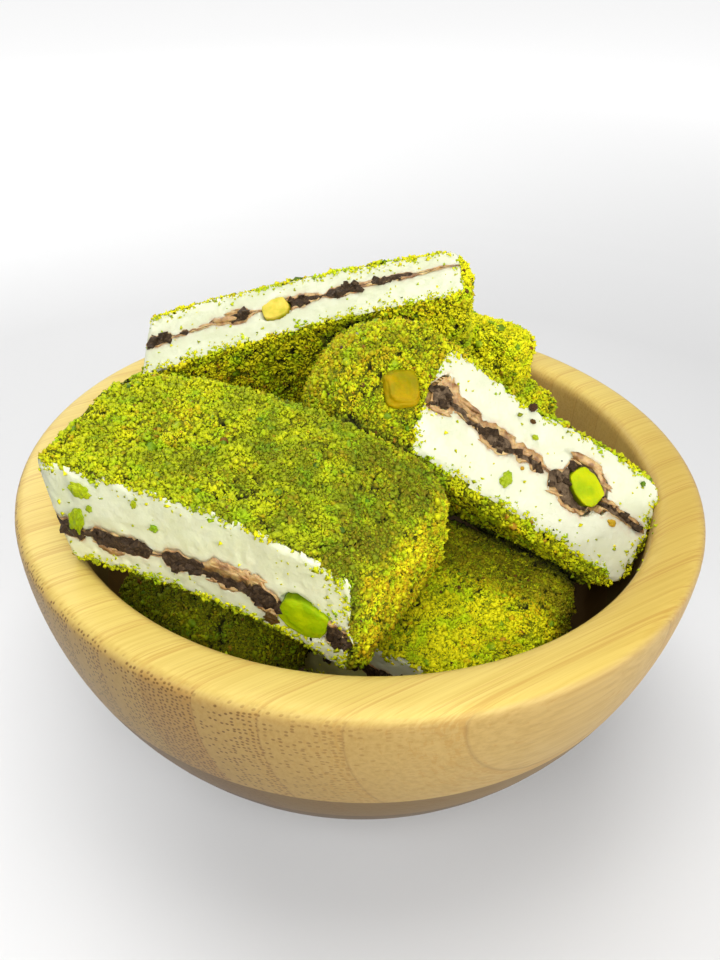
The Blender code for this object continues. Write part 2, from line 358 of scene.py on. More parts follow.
def bamboo_strips(bamboo, across, height):
    """Whether a place is in the lower board, its strip, and how far across the strip it is."""
    low = bamboo.math("LESS_THAN", height, LAYER_SEAM)
    shifted = bamboo.line(low, STRIP * LOWER_SHIFT, across)
    strips = bamboo.math("DIVIDE", bamboo.math("SUBTRACT", shifted, FIRST_SEAM), STRIP)
    return low, bamboo.math("FLOOR", strips), bamboo.math("FRACT", strips)


def bamboo_facing(bamboo):
    """How much a place shows the fibres' ends, and how much it faces up."""
    facing = bamboo.add("TexCoord", output="Normal")
    turn = {"Vector": facing, "Angle": -math.radians(FIBRE_TURN)}
    turned = bamboo.add("VectorRotate", settings={"rotation_type": "Z_AXIS"}, **turn)
    end_on, _, upward = bamboo.add("SeparateXYZ", turned).node.outputs
    end_grain = bamboo.line(bamboo.math("ABSOLUTE", end_on), 2.0, -0.5, True)
    return end_grain, bamboo.line(upward, 1.7, -0.35, True)


# %% Fibre bundles
DENSE_STRIP = -2.0  # this strip, counted from the first seam, is full of fibre bundles
DOT_REACH = 0.35  # radius of a bundle's dot, as a share of the space between bundles


def bundle_dots(bamboo, where, strip_key, density):
    """1 in the middle of each fibre bundle; the density is the share of bundles that show."""
    times, line, work = bamboo.times, bamboo.line, bamboo.math
    along, across, height = bamboo.add("SeparateXYZ", where).node.outputs
    sway = bamboo.noise(where, (0.03, 0.2, 0.2), 1.0)
    swayed = line(sway, 1.6, times(height, 1.45))
    sideways = line(across, 1.6, line(along, 0.004, times(strip_key, 19.0)))
    section = bamboo.add("CombineXYZ", sideways, swayed)
    bundles = {"Vector": section, "Scale": 1.0, "Randomness": 0.6}
    bundles["settings"] = {"voronoi_dimensions": "2D"}
    far = bamboo.add("TexVoronoi", output="Distance", **bundles)
    draw = bamboo.add("SeparateColor", bamboo.add("TexVoronoi", output="Color", **bundles))
    present = line(work("SUBTRACT", density, draw), 6.0, 0.5, True)
    return times(times(work("SUBTRACT", DOT_REACH, far), 7.0, True), present)


# %% Colours of the bamboo
PALE_STRIP = (0.96, 0.94, 0.9)
PALE_PATCH = (0.95, 0.93, 0.88)
# Tint of the painted shade on the lip's top at the right.
LIP_SHADE_TINT = (0.84, 0.78, 0.64)


def bamboo_wood(bamboo, where, fibres, above, chance):
    """The plain wood: lighter and yellower where it faces up, as painted light, in soft patches,
    and a little different in each strip.
    """
    top = bamboo.ramp(fibres, (0.32, srgb(220, 192, 100)), (0.6, srgb(231, 207, 116)))
    side = bamboo.ramp(fibres, (0.32, srgb(202, 167, 98)), (0.6, srgb(216, 184, 114)))
    broad = bamboo.noise(where, (0.02, 0.16, 0.12))
    # Painted light: the wood is lighter and yellower where it faces up.
    colour = bamboo.mix(above, side, top)
    colour = bamboo.tinted(colour, bamboo.ramp(broad, (0.3, PALE_PATCH), (0.7, WHITE)))
    return bamboo.tinted(colour, bamboo.ramp(chance, (0.0, PALE_STRIP), (1.0, WHITE)))


def bamboo_finish():
    """Pale bamboo: strips, fibre bundles as dots or streaks, and soft variation."""
    bamboo = Finish(
        "bamboo", Roughness=0.45, Specular_IOR_Level=0.25, Coat_Weight=0.05, Coat_Roughness=0.35
    )
    times, line, work, mix = bamboo.times, bamboo.line, bamboo.math, bamboo.mix
    where = bamboo.place(turn=-FIBRE_TURN)
    along, across, height = bamboo.add("SeparateXYZ", where).node.outputs
    end_grain, above = bamboo_facing(bamboo)
    low, strip, share = bamboo_strips(bamboo, across, height)
    strip_key = line(low, 37.0, strip)
    chance = bamboo.add("TexWhiteNoise", settings={"noise_dimensions": "1D"}, W=strip_key)
    plan = bamboo.vector("MULTIPLY", where, (1, 1, 0))
    radius = bamboo.vector("LENGTH", plan, output="Value")
    # The inside, and also the lowest part of the outside, which is as near to the axis.
    inner = work("LESS_THAN", radius, BOWL_RADIUS - WALL_AT_LIP + 1.0)

    # Bundles crowd towards one face of each strip, as they do towards the outside of the cane.
    flipped = line(share, -1.0, 1.0)
    crowd = work("POWER", flipped, 2.0)
    dense = work("COMPARE", strip, DENSE_STRIP, 0.5)
    rich = work("MAXIMUM", dense, work("GREATER_THAN", chance, 0.82))
    density = work("MAXIMUM", line(crowd, 0.8, 0.25), times(rich, 0.95))
    dots = times(bundle_dots(bamboo, where, strip_key, density), line(inner, -0.85, 1.0))

    # Each coat of colour goes over the last one.
    fibres = bamboo.noise(where, (0.03, 2.4, 1.2), 4.0, 0.6)
    colour = bamboo_wood(bamboo, where, fibres, above, chance)
    lines = bamboo.noise(where, (0.025, 3.2, 0.5), 3.0, 0.6)
    streaks = line(line(work("POWER", crowd, 1.5), 0.2, lines), 12.0, -7.3, True)
    for how_much, tint in (
        (times(end_grain, 0.4), (180, 140, 76)),
        (times(times(dense, end_grain), 0.35), (176, 126, 62)),
        (times(streaks, line(end_grain, -0.25, 0.44)), (196, 146, 68)),
    ):
        colour = mix(how_much, colour, srgb(*tint))
    streak = mix(end_grain, srgb(206, 156, 76), srgb(112, 76, 34))
    colour = mix(times(dots, times(end_grain, 0.85)), colour, streak)
    # Painted shade: the lip's top is darker and more orange towards the right.
    darker = times(line(along, 0.03, 0.6, True), times(across, -0.04, True))
    colour = mix(times(darker, above), colour, bamboo.tinted(colour, LIP_SHADE_TINT))
    # Painted shade: from 52 mm down, the inside and the lowest part of the outside are darkened
    # to a deep brown.
    painted_deep_shade = times(times(line(height, -0.1, 5.2, True), inner), 0.85)
    colour = mix(painted_deep_shade, colour, srgb(56, 46, 16))
    # The lower board is darker: partly its own darker wood, and partly painted shade for the
    # bottom of the bowl.
    colour = mix(times(low, 0.76), colour, srgb(98, 70, 30))
    seam = line(work("MINIMUM", share, flipped), -45.0, 1.0, True)
    level = work("ABSOLUTE", work("SUBTRACT", height, LAYER_SEAM))
    seam = work("MAXIMUM", seam, line(level, -7.0, 1.0, True))
    colour = mix(times(seam, line(above, -0.36, 0.36)), colour, srgb(150, 110, 62))
    bamboo.paint(colour, line(dots, -0.5, fibres), 0.06, 0.5)
    return bamboo


bowl = add_piece("bamboo_bowl", spin_bowl(), [bamboo_finish()], "bamboo", ["bowl"])

# %% [markdown]
# ## The slabs
# A slab of this sweet is soft: its long sides droop and swell a little, the coated edges are
# round and the cut edges are sharp. Each slab starts as a block of fine grid faces, and every
# point is then moved by the same few rules: round the corners in plan, round the coated edges,
# lean, arch and droop. The layers share their meeting surfaces, so they always fit together.


# %% The seven slabs
@dataclass
class Slab:
    """Sizes in millimetres; x runs along the length, y from the front cut back and z up."""

    name: str
    centre: tuple
    turn: tuple  # degrees about z, then y, then x
    length: float
    depth: float
    thickness: float
    coats: tuple = (1, 1, 1, 1)  # how round front, right, back and left are; 0 is cut
    rounding: float = 0.42  # radius of the coated edges, as a share of the thickness
    corners: tuple = (3, 3, 5, 5)
    arch: float = 0.4
    droop: float = 0.0
    bow: float = 0.0
    rise_left: float = 0.0  # how much higher the upper half stands at the left end
    taper: float = 0.0
    skew: tuple = (0, 0)  # at the left and right end
    lean: tuple = (0, 0)
    filling_at: tuple = (0.5, 0.5, 0.5)
    filling: float = 2.6
    chunks: tuple = ()  # chocolate at the cut: from, to, share of the full thickness
    upper_film: tuple = ()  # caramel over the chocolate at the cut: from, to, thickness
    lower_film: tuple = ()
    cut_from: float = -99.0  # the front is coated to the left of this
    wrap: float = 0.0  # how much further the coat comes up on the cut from below
    # Set per slab partly as painted light and shade: higher for slabs the lamps reach poorly,
    # lower for the slab in deep shadow.
    nut_tone_and_light: float = 0.4  # how pale and yellow the ground pistachio is

    def matrix(self):
        yaw, pitch, roll = (math.radians(angle) for angle in self.turn)
        turned = Matrix.Rotation(yaw, 3, "Z") @ Matrix.Rotation(-pitch, 3, "Y")
        turned = turned @ Matrix.Rotation(roll, 3, "X")
        return Matrix.Translation([value * MM for value in self.centre]) @ turned.to_4x4()

    def axes(self):
        return np.array(self.matrix())[:3, :3]

    def placed(self, points):
        """Points in the slab's own millimetres, given in metres in the bowl."""
        return points * MM @ self.axes().T + np.array(self.matrix())[:3, 3]


FRONT = Slab(
    "front_slab", centre=(-15.5, -21.9, 65.2), turn=(-16, -9.5, 1), length=53.4, depth=35,
    thickness=17.4, coats=(0, 0.4, 1, 0), corners=(1.5, 3, 9, 15), arch=2, droop=3, taper=0.03,
    skew=(-1, 7), lean=(-0.35, -0.16),
    filling_at=(0.37, 0.34, 0.36), filling=3.4,
    chunks=((-27, -22, 0.9), (-20.6, -10.4, 0.85), (-8.4, -1.8, 1.0), (-2.0, 7.3, 0.4),
            (6.4, 11.8, 0.95), (17.5, 25.5, 0.9)),
    upper_film=((-2.0, 8.6, 2.1), (12, 24, 0.35)),
    lower_film=((-20.5, -15.5, 1.0), (-0.7, 4.3, 0.8), (8, 12, 0.5)),
)
REAR = Slab(
    "rear_slab", centre=(-9.9, 24.5, 68), turn=(-1, 17, -62), length=61.5, depth=27,
    thickness=12.5, coats=(0, 0.8, 1, 0), corners=(2, 2, 4, 4), arch=1.9, taper=-0.17,
    skew=(0, -5), lean=(0.12, 0), filling_at=(0.53, 0.52, 0.64), filling=1.9, nut_tone_and_light=0.72,
    chunks=((-30, -24.9, 1.0), (-22.7, -20.9, 0.5), (-12.8, -8.8, 0.9), (-3.8, 2.6, 0.9),
            (2, 4.9, 0.5), (6.1, 11.9, 1.2), (14.1, 21.3, 0.55)),
    upper_film=((-17, -8, 0.7), (-4, 5, 0.45), (11, 15, 0.6), (22, 30, 0.2)),
    lower_film=((-16, -8, 0.5), (-3, 3, 0.4), (18, 24, 0.2)),
)
RIGHT = Slab(
    "right_slab", centre=(19.1, 2, 59.3), turn=(-12, -26.6, -45), length=64, depth=28,
    thickness=19.6, coats=(0, 0.6, 1, 1), corners=(9, 1, 5, 14), arch=0.6, bow=1, rise_left=2.6,
    taper=0.04, skew=(-6.5, 0), lean=(-0.05, -0.05),
    filling_at=(0.79, 0.55, 0.56), filling=2.8, cut_from=-15.6, wrap=1.5, nut_tone_and_light=0.62,
    chunks=((-18.3, -10.8, 1.0), (-10.9, -3.3, 0.3), (-3.5, 3.3, 0.7), (3.5, 8.9, 0.3),
            (11.3, 14.5, 0.7), (13.9, 20.5, 1.5), (20.7, 30.3, 0.3)),
    upper_film=((-17.3, -4.3, 1.3), (-4.3, 9.7, 1.0), (12.7, 23.2, 1.0), (21.7, 30.5, 0.5)),
    lower_film=((-16.3, -9.8, 0.8), (-4.3, 2.7, 0.4), (11.7, 22.7, 0.5)),
)
LOW = Slab(
    "low_slab", centre=(13.4, -13.85, 35.7), turn=(-29, 0, 9), length=46.5, depth=35.4,
    thickness=17.5, rounding=0.31, coats=(0, 1, 1, 0), corners=(2, 16, 8, 3),
    filling_at=(0.6, 0.59, 0.59), nut_tone_and_light=0.97,
    chunks=((-23.2, -20, 0.3), (-14.6, -5, 1.6), (-4, 10, 1.3), (11, 18, 0.8)),
)
BACK = Slab(
    "back_slab", centre=(22.7, 36.6, 53.8), turn=(-32, 0, 84), length=24, depth=34,
    thickness=10.5, nut_tone_and_light=1.05,
)
UNDER = Slab(
    "under_slab", centre=(-25.3, -19.7, 36.8), turn=(-34, 0, -14), length=33.7, depth=20,
    thickness=15.4, corners=(6, 5, 5, 6), nut_tone_and_light=0.24,
)
CORNER = Slab(
    "corner_slab", centre=(32.6, 20.6, 54), turn=(-56, 0, 84), length=10, depth=20,
    thickness=7, corners=(2.5, 2.5, 3, 3), nut_tone_and_light=0.66,
)
LAYERED = (FRONT, REAR, RIGHT, LOW)
PLAIN = (BACK, UNDER, CORNER)
for slab in LAYERED + PLAIN:
    print(slab.name, "mm:", slab.length, "x", slab.depth, "x", slab.thickness)


# %% The four kernels
@dataclass
class Kernel:
    """A pistachio kernel at its place in a slab; halves are its half sizes before the turn."""

    slab: Slab
    name: str
    place: tuple
    halves: tuple
    turn: float
    colour: tuple
    whole: bool = False
    ringed: bool = False  # the filling goes up over it

    def sine_and_cosine(self):
        return math.sin(math.radians(self.turn)), math.cos(math.radians(self.turn))


KERNELS = (
    Kernel(FRONT, "front_slab_kernel", (15.8, -15.6, -2.4), (4.2, 5.4, 3.0), 14, (160, 184, 2)),
    Kernel(REAR, "rear_slab_kernel", (-3.6, -11.8, -0.3), (2.9, 4.2, 2.3), -12, (230, 208, 74)),
    Kernel(RIGHT, "right_slab_cut_kernel", (17.8, -12.4, 1.5), (3.8, 4.6, 2.5), 28,
           (174, 190, 3), ringed=True),
    Kernel(RIGHT, "right_slab_end_kernel", (-19.8, -12.6, 0.4), (3.3, 3.1, 3.3), -37,
           (164, 142, 1), whole=True),
)

# %% Rules of shape
CUT_ROUNDING = 0.06
ROUNDING_DEPTH = 0.85
ROUNDING_BAND = 1.2
FULLEST = 0.45  # how evenly the grid lines of a block are spread; 1 is quite evenly
SIDES = ((-1, -1), (1, -1), (1, 1), (-1, 1))  # the corners in plan, from the front left round


def smooth(value):
    value = np.clip(value, 0, 1)
    return value * value * (3 - 2 * value)


def spread(value):
    """Packs grid lines towards both ends of -1 to 1, where the edges turn."""
    return FULLEST * value + (1 - FULLEST) * np.sin(value * math.pi / 2)


def past_corners(slab, x, y):
    """For each corner: its sides and radius, how far past its centre each place is, and
    whether it is past it both ways."""
    for (side_x, side_y), radius in zip(SIDES, slab.corners):
        past_x = x * side_x - (slab.length / 2 - radius)
        past_y = y * side_y - (slab.depth / 2 - radius)
        yield side_x, side_y, radius, past_x, past_y, (past_x > 0) & (past_y > 0)


def round_corners(slab, x, y):
    round_x, round_y = x, y
    for side_x, side_y, radius, past_x, past_y, inside in past_corners(slab, x, y):
        shrink = np.maximum(past_x, past_y) / (np.hypot(past_x, past_y) + 1e-9)
        new_x = side_x * (slab.length / 2 - radius + past_x * shrink)
        new_y = side_y * (slab.depth / 2 - radius + past_y * shrink)
        round_x, round_y = np.where(inside, new_x, round_x), np.where(inside, new_y, round_y)
    return round_x, round_y


def round_edges(slab, x, y, z):
    radius = slab.thickness * slab.rounding
    past = np.clip((np.abs(z) - (slab.thickness / 2 - radius)) / radius, 0, 1)
    inset = radius * (1 - np.sqrt(1 - 0.999 * past * past)) * ROUNDING_DEPTH
    band = radius * ROUNDING_BAND
    front, right, back, left = (max(coat, CUT_ROUNDING) for coat in slab.coats)
    front = np.where(z < 0, front + 0.16 * slab.wrap, front)

    def near(place, size):
        return np.clip((place - size / 2 + band) / band, 0, 1)

    y = y + inset * (near(-y, slab.depth) * front - near(y, slab.depth) * back)
    return x + inset * (near(-x, slab.length) * left - near(x, slab.length) * right), y


def bend(slab, x, y, z):
    along, across = 2 * x / slab.length, 2 * y / slab.depth
    to_left, to_right = np.maximum(0, -along), np.maximum(0, along)
    x = x + (to_left * slab.skew[0] + to_right * slab.skew[1]) * across / 2
    x = x + (to_left * slab.lean[0] + to_right * slab.lean[1]) * z
    z = z * (1 + slab.taper * along)
    part = np.minimum(1, to_right)
    z = z + np.where(z > 0, slab.bow * 4 * part * (1 - part), 0)
    z = z + slab.rise_left * smooth((0.15 - along) / 0.7) * np.maximum(0, 2 * z / slab.thickness)
    z = z + slab.arch * (1 - along * along) - slab.droop * to_right**2
    return np.stack([x, y, z], axis=1)


# %% [markdown]
# The filling is not an even sheet. The knife shows lumps of dark chocolate a few millimetres
# long, with places between them where the two nougats almost meet, and a film of tan caramel on
# both sides that comes and goes. So the layers are heights over the plan of the slab: the lumps
# swell the chocolate, and each film lies on it.

# %% Heights of the layers
SWELL = (0.35, 16.0)  # how far the top and the bottom rise and fall, and how often, mm
FILLING_WAVE = 0.45
COVER = 1.3  # how far inside the coat the filling fades away
LAP = 0.4  # how far the two nougats run into each other under the coat
RING = 1.22  # how far the filling stands round a kernel, as a share of the kernel
FAR = 99.0


def inside_coat(slab, x, y):
    """0 at a coated side, where the two nougats close on each other, and 1 further in."""
    half_length, half_depth = slab.length / 2, slab.depth / 2
    near = np.full_like(x, FAR)
    away = (y + half_depth, half_length - x, half_depth - y, half_length + x)
    for coat, distance in zip(slab.coats, away):
        if coat > 0:
            near = np.minimum(near, distance)
    near = np.minimum(near, np.maximum(y + half_depth, x - slab.cut_from + 0.6))
    for side_x, _, radius, past_x, past_y, inside in past_corners(slab, x, y):
        if slab.coats[1 if side_x > 0 else 3] > 0:
            near = np.where(inside, np.minimum(near, radius - np.hypot(past_x, past_y)), near)
    return smooth((near - 0.3) / COVER)


def steps_at_cut(x, wander, spans):
    """The largest value of the spans (from, to, value) at each x, with soft uneven ends."""
    height = np.zeros_like(x)
    for start, end, value in spans:
        off = np.clip(np.abs(x + wander - (start + end) / 2) / ((end - start) / 2), 0, 1)
        height = np.maximum(height, value * np.sqrt(1 - off**6))
    return height


def top_of_ring(slab, x):
    """Height of the filling that goes up over a kernel, at each x along the cut."""
    height = np.full_like(x, -FAR)
    for kernel in KERNELS:
        if kernel.slab is not slab or not kernel.ringed:
            continue
        wide, high = kernel.halves[0] * RING, kernel.halves[2] * RING
        sine, cosine = kernel.sine_and_cosine()
        off = x - kernel.place[0]
        square = (sine / wide) ** 2 + (cosine / high) ** 2
        linear = 2 * off * sine * cosine * (1 / high**2 - 1 / wide**2)
        rest = off**2 * ((cosine / wide) ** 2 + (sine / high) ** 2) - 1
        inner = linear**2 - 4 * square * rest
        rise = (np.sqrt(np.maximum(inner, 0)) - linear) / (2 * square)
        height = np.where(inner > 0, np.maximum(height, kernel.place[2] + rise), height)
    return height


def layer_heights(slab, x, y):
    """The six surfaces of a layered slab, from its bottom to its top."""
    seed = len(slab.name)
    bottom = -slab.thickness / 2 - flat_ripples(x, y, (*SWELL, seed - 3))
    top = slab.thickness / 2 + flat_ripples(x, y, (*SWELL, seed + 3))
    along = 2 * x / slab.length
    left, middle, right = slab.filling_at
    share = middle + (right - left) / 2 * along + ((left + right) / 2 - middle) * along**2
    wave = flat_ripples(x, y, (1, 13.0, seed), (0.5, 3.5, seed))
    line = slab.thickness * (share - 0.5) + FILLING_WAVE * wave
    line = line + flat_ripples(x, y, (0.3, 1.5, 10))
    wander = flat_ripples(x, y, (0.6, 1.6, 5), (0.35, 0.7, 6))
    blend = np.clip((y + slab.depth / 2 - 2.0) / 4.0, 0, 1)  # 0 near the cut, 1 further back
    deep = np.clip(0.55 + flat_ripples(x, y, (1.1, 4.5, 8)), 0, 1)
    thick = steps_at_cut(x, wander, slab.chunks) * (1 - blend) + deep * blend
    inner = inside_coat(slab, x, y)
    rough = 1 + flat_ripples(x, y, (0.3, 1.2, 9))
    half = slab.filling / 2 * np.clip(thick * rough, 0.04, 3.2) * inner + 0.02
    above, below = (
        half * (1 + flat_ripples(x, y, (0.3, 1.0, step), (0.15, 0.5, step + 4)))
        for step in (11, 12)
    )
    upper, lower = line + above, line - below
    upper = upper + (1 - blend) * np.maximum(0, top_of_ring(slab, x) + 0.15 * wave - upper)
    films = []
    for spans, step in ((slab.upper_film, 13), (slab.lower_film, 14)):
        patchy = np.clip(0.2 + flat_ripples(x, y, (1, 3.0, step)), 0, 1)
        stated = steps_at_cut(x, wander, spans) * (1 + flat_ripples(x, y, (0.5, 1.3, step + 4)))
        films.append((0.06 + 0.35 * patchy + (1 - blend) * stated) * inner + 0.02)
    return bottom, lower - films[1], lower, upper, upper + films[0], top


def kernel_hollow(slab, x, z):
    """How far the cut is pressed in behind the kernels that show in it, in millimetres."""
    pressed = np.zeros_like(x)
    for kernel in KERNELS:
        if kernel.slab is not slab or kernel.whole:
            continue
        sine, cosine = kernel.sine_and_cosine()
        off_x, off_z = x - kernel.place[0], z - kernel.place[2]
        wide = (off_x * cosine - off_z * sine) / kernel.halves[0]
        high = (off_x * sine + off_z * cosine) / kernel.halves[2]
        pressed = np.maximum(pressed, smooth((1.12 - np.hypot(wide, high)) / 0.25))
    return 1.6 * pressed


# %% Blocks of fine faces
AT_SIDE = 0.9999  # a point of a block that is past this is on its side


def block_mesh(name, counts):
    """A cube from -1 to 1 whose sides are cut into a grid, so many faces along each axis."""
    bm = bmesh.new()
    bmesh.ops.create_cube(bm, size=2)
    for axis, count in enumerate(counts):
        across = [
            edge for edge in bm.edges if abs(edge.verts[0].co[axis] - edge.verts[1].co[axis]) > 1
        ]
        bmesh.ops.subdivide_edges(bm, edges=across, cuts=count - 1, use_grid_fill=True)
    bmesh.ops.recalc_face_normals(bm, faces=bm.faces)
    shade_smooth(bm)
    return as_mesh(bm, name)


def shape_layer(mesh, slab, lower, upper):
    """Places that fill the space between two of the slab's surfaces, counted from 0."""
    u, v, w = points_of(mesh).T
    x, y = spread(u) * slab.length / 2, spread(v) * slab.depth / 2
    x, y = round_corners(slab, x, y)
    heights = list(layer_heights(slab, x, y))
    lap = LAP * (1 - inside_coat(slab, x, y))
    heights[1] = heights[1] + lap * (upper == 1)
    heights[4] = heights[4] - lap * (lower == 4)
    z = heights[lower] + (heights[upper] - heights[lower]) * (w + 1) / 2
    x, y = round_edges(slab, x, y, z)
    return x, y, z, (u, v, w), heights


# %% [markdown]
# ### Nougat and its coat
# The nougat is white, whipped and slightly see-through, with small bubbles where the knife went.
# The same mesh carries the coat: faces that the knife did not cut take the pistachio finish and
# get a crumbly relief, with a ragged edge where they meet the cut.


# %% Finishes of the nougat and of its coat
def nougat_finish(name, tint=WHITE):
    nougat = Finish(name, Roughness=0.4, Coat_Weight=0.25, Coat_Roughness=0.22)
    milky = {"Weight": 0.35, "Scale": 0.002, "Radius": (1.0, 0.95, 0.75)}
    nougat.put(nougat.shader, {f"Subsurface {key}": value for key, value in milky.items()})
    where = nougat.place()
    cloudy = nougat.noise(where, 0.22, 3.0)
    white = nougat.ramp(cloudy, (0.35, srgb(226, 231, 190)), (0.65, srgb(235, 239, 203)))
    blot = nougat.ramp(nougat.noise(where, 0.9, 3.0), (0.4, 0.0), (0.6, 0.7))
    stained = nougat.times(nougat.attribute("stain"), blot)
    colour = nougat.mix(stained, nougat.tinted(white, tint), srgb(206, 168, 134))
    fine = nougat.noise(where, 2.6, 3.0)
    nougat.paint(colour, nougat.line(fine, 0.12, nougat.noise(where, 0.75)), 0.3, 0.5)
    return nougat


def crust_finish(name, share=1.0):
    """Ground pistachio seen as a surface: small cells of green with painted shade in the gaps
    between them.
    """
    crust = Finish(name, Roughness=0.85, Specular_IOR_Level=0.2)
    grain = {"Vector": crust.place(), "Scale": 3.4}
    parts = crust.add("SeparateColor", crust.add("TexVoronoi", output="Color", **grain))
    shade = crust.ramp(
        parts,
        (0.0, srgb(70, 76, 4)),
        (0.25, srgb(118, 126, 5)),
        (0.6, srgb(150, 156, 6)),
        (1.0, srgb(176, 172, 16)),
    )
    edges = {"feature": "DISTANCE_TO_EDGE"}
    gap = crust.add("TexVoronoi", output="Distance", settings=edges, **grain)
    shade = crust.tinted(shade, crust.ramp(gap, (0.0, 0.5), (0.16, 1.0)))
    # Painted light: a share above 1 makes a lit copy of the crust.
    shade = crust.tinted(shade, (share, share, share))
    # Painted shade: the coat goes near black in its cracks and where another slab crowds it.
    crust.paint(crust.mix(crust.attribute("pit"), shade, srgb(26, 26, 3)), gap, 0.35, 0.8)
    return crust


# Lit and shaded copies of the one nougat, as painted light and shade: the front slab's is painted
# lighter, the rear and right slabs' dimmer, and the low slab's yellower for green light thrown
# back from the coat.
LIT_AND_SHADED_NOUGATS = {
    "front_slab": nougat_finish("nougat_whiter", (1.06, 1.05, 1.05)),
    "rear_slab": nougat_finish("nougat_duller", (0.92, 0.91, 0.94)),
    "right_slab": nougat_finish("nougat_greyer", (0.9, 0.88, 0.96)),
    "low_slab": nougat_finish("nougat_yellower", (1.0, 0.95, 0.5)),
}
nougat = nougat_finish("nougat")
crust = crust_finish("pistachio_crust")
# A lit copy of the crust for the low and back slabs, as painted light.
lit_crust = crust_finish("pistachio_crust_pale", 1.9)


# %% Layers of nougat
BUBBLES = 70
BUBBLE_RADII = (0.25, 0.7)
PRESSED_IN = 0.3  # how far the coat's relief starts below the nougat, mm


def bubbles(x, z, chance):
    """Depth of small round pits scattered over a cut, in millimetres."""
    depth = np.zeros_like(x)
    for _ in range(BUBBLES):
        radius = chance.uniform(*BUBBLE_RADII)
        middle_x = chance.uniform(x.min(), x.max())
        middle_z = chance.uniform(z.min(), z.max())
        near = 1 - ((x - middle_x) ** 2 + (z - middle_z) ** 2) / radius**2
        depth = np.maximum(depth, 0.3 * radius * np.clip(near, 0, 1))
    return depth


def coat_end(slab, z, ragged):
    """The x where the coat at the left of a cut gives way to bare nougat."""
    return slab.cut_from + 1.2 * ragged - 0.22 * z


def coat_mask(slab, x, y, z, block_place, heights, lower, upper):
    """Where ground pistachio sticks, because the knife did not cut there."""
    u, v, w = block_place
    sides = (v < -AT_SIDE, u > AT_SIDE, v > AT_SIDE, u < -AT_SIDE)
    mask = inside_coat(slab, x, y) < 0.6
    for side, coat in zip(sides, slab.coats):
        mask |= side & (coat > 0)
    ragged = np.maximum(0.75 + flat_ripples(x, z, (0.9, 2.2, 21), (0.6, 0.9, 22)), 0.45)
    if upper == 5:
        mask |= (w > AT_SIDE) | (heights[5] - z < ragged)
    if lower == 0:
        mask |= (w < -AT_SIDE) | (z - heights[0] < ragged + slab.wrap)
    if slab.coats[1] > 0:
        mask |= slab.length / 2 - x < 0.3 + 1.4 * ragged + (slab is FRONT)
    return mask | ((v < -0.9) & (x < coat_end(slab, z, ragged)))


def lumps(points):
    """The clumps of the coat, in millimetres."""
    return ripples(points, (0.4, 2.8, 2), (0.36, 1.4, 3), (0.28, 0.75, 4))


def cracks(points):
    """1 in the short winding gaps between the clumps of the coat."""
    winding = np.abs(ripples(points, (1, 2.4, 9), (0.25, 0.9, 10)))
    return smooth((0.12 - winding) / 0.05) * smooth((ripples(points, (1, 3.4, 11)) + 0.06) / 0.1)


def make_nougat(slab, node, lower, upper, counts):
    mesh = block_mesh(node, counts)
    x, y, z, place, heights = shape_layer(mesh, slab, lower, upper)
    coat = coat_mask(slab, x, y, z, place, heights, lower, upper)
    at_front = place[1] < -AT_SIDE
    if slab.coats[0] == 0:
        cut = at_front & ~coat
        wavy = flat_ripples(x, z, (0.25, 6, 31), (0.14, 1.8, 32))
        deep = np.zeros_like(x)
        chance = np.random.default_rng(len(node) * 11)
        deep[at_front] = bubbles(x[at_front], z[at_front], chance)
        y = np.where(cut, y - wavy + deep + kernel_hollow(slab, x, z), y)
        pressed = smooth(1 - np.minimum(heights[5] - z, z - heights[0]) / 0.9)
        z = np.where(cut, z - 0.4 * np.sign(z) * pressed, z)
    move_points(mesh, bend(slab, x, y, z))
    points = points_of(mesh)
    gaps = cracks(points)
    # Painted shade: the cracks are marked here for the crust to paint them near black.
    write_values(mesh, "pit", gaps)
    lift = np.where(coat, lumps(points) - PRESSED_IN - 0.5 * gaps, 0)
    points = points + normals_of(mesh) * lift[:, None]
    gap_above = np.minimum(np.abs(z - heights[4]), np.abs(z - heights[1]))
    write_values(mesh, "stain", np.where(at_front, np.exp(-gap_above / 0.45), 0))
    corners = read(mesh.loops, "vertex_index", 1, int)
    mostly_coated = coat[corners].reshape(-1, 4).mean(axis=1) > 0.5
    mesh.polygons.foreach_set("material_index", mostly_coated.astype(int))
    move_points(mesh, slab.placed(points))
    return mesh


coated_meshes = []
for slab in LAYERED:
    meshes = []
    for layer, lower, upper in (("base", 0, 1), ("top", 4, 5)):
        node = f"{slab.name}_nougat_{layer}"
        meshes.append(make_nougat(slab, node, lower, upper, (150, 44, 16)))
        # The low slab's top layer takes the front slab's nougat, painted lighter.
        inside = LIT_AND_SHADED_NOUGATS["front_slab" if node == "low_slab_nougat_top" else slab.name]
        finishes = [inside, lit_crust if slab is LOW else crust]
        add_piece(f"{node}_shown", meshes[-1], finishes, "nougat", [node])
    coated_meshes.append((slab, meshes))
for slab in PLAIN:
    whole = make_nougat(slab, slab.name, 0, 5, (70, 50, 30))
    finishes = [nougat, lit_crust if slab is BACK else crust]
    add_piece(f"{slab.name}_shown", whole, finishes, "pistachio_crust", [slab.name])
    coated_meshes.append((slab, [whole]))

# %% [markdown]
# ### Chocolate and caramel
# Dark chocolate with a dull grey-brown break, and a film of tan caramel above and below it.
# Both are layers like the nougat, and stand unevenly out of the cut. In the right slab the
# knife has smeared the chocolate, so it is paler there.


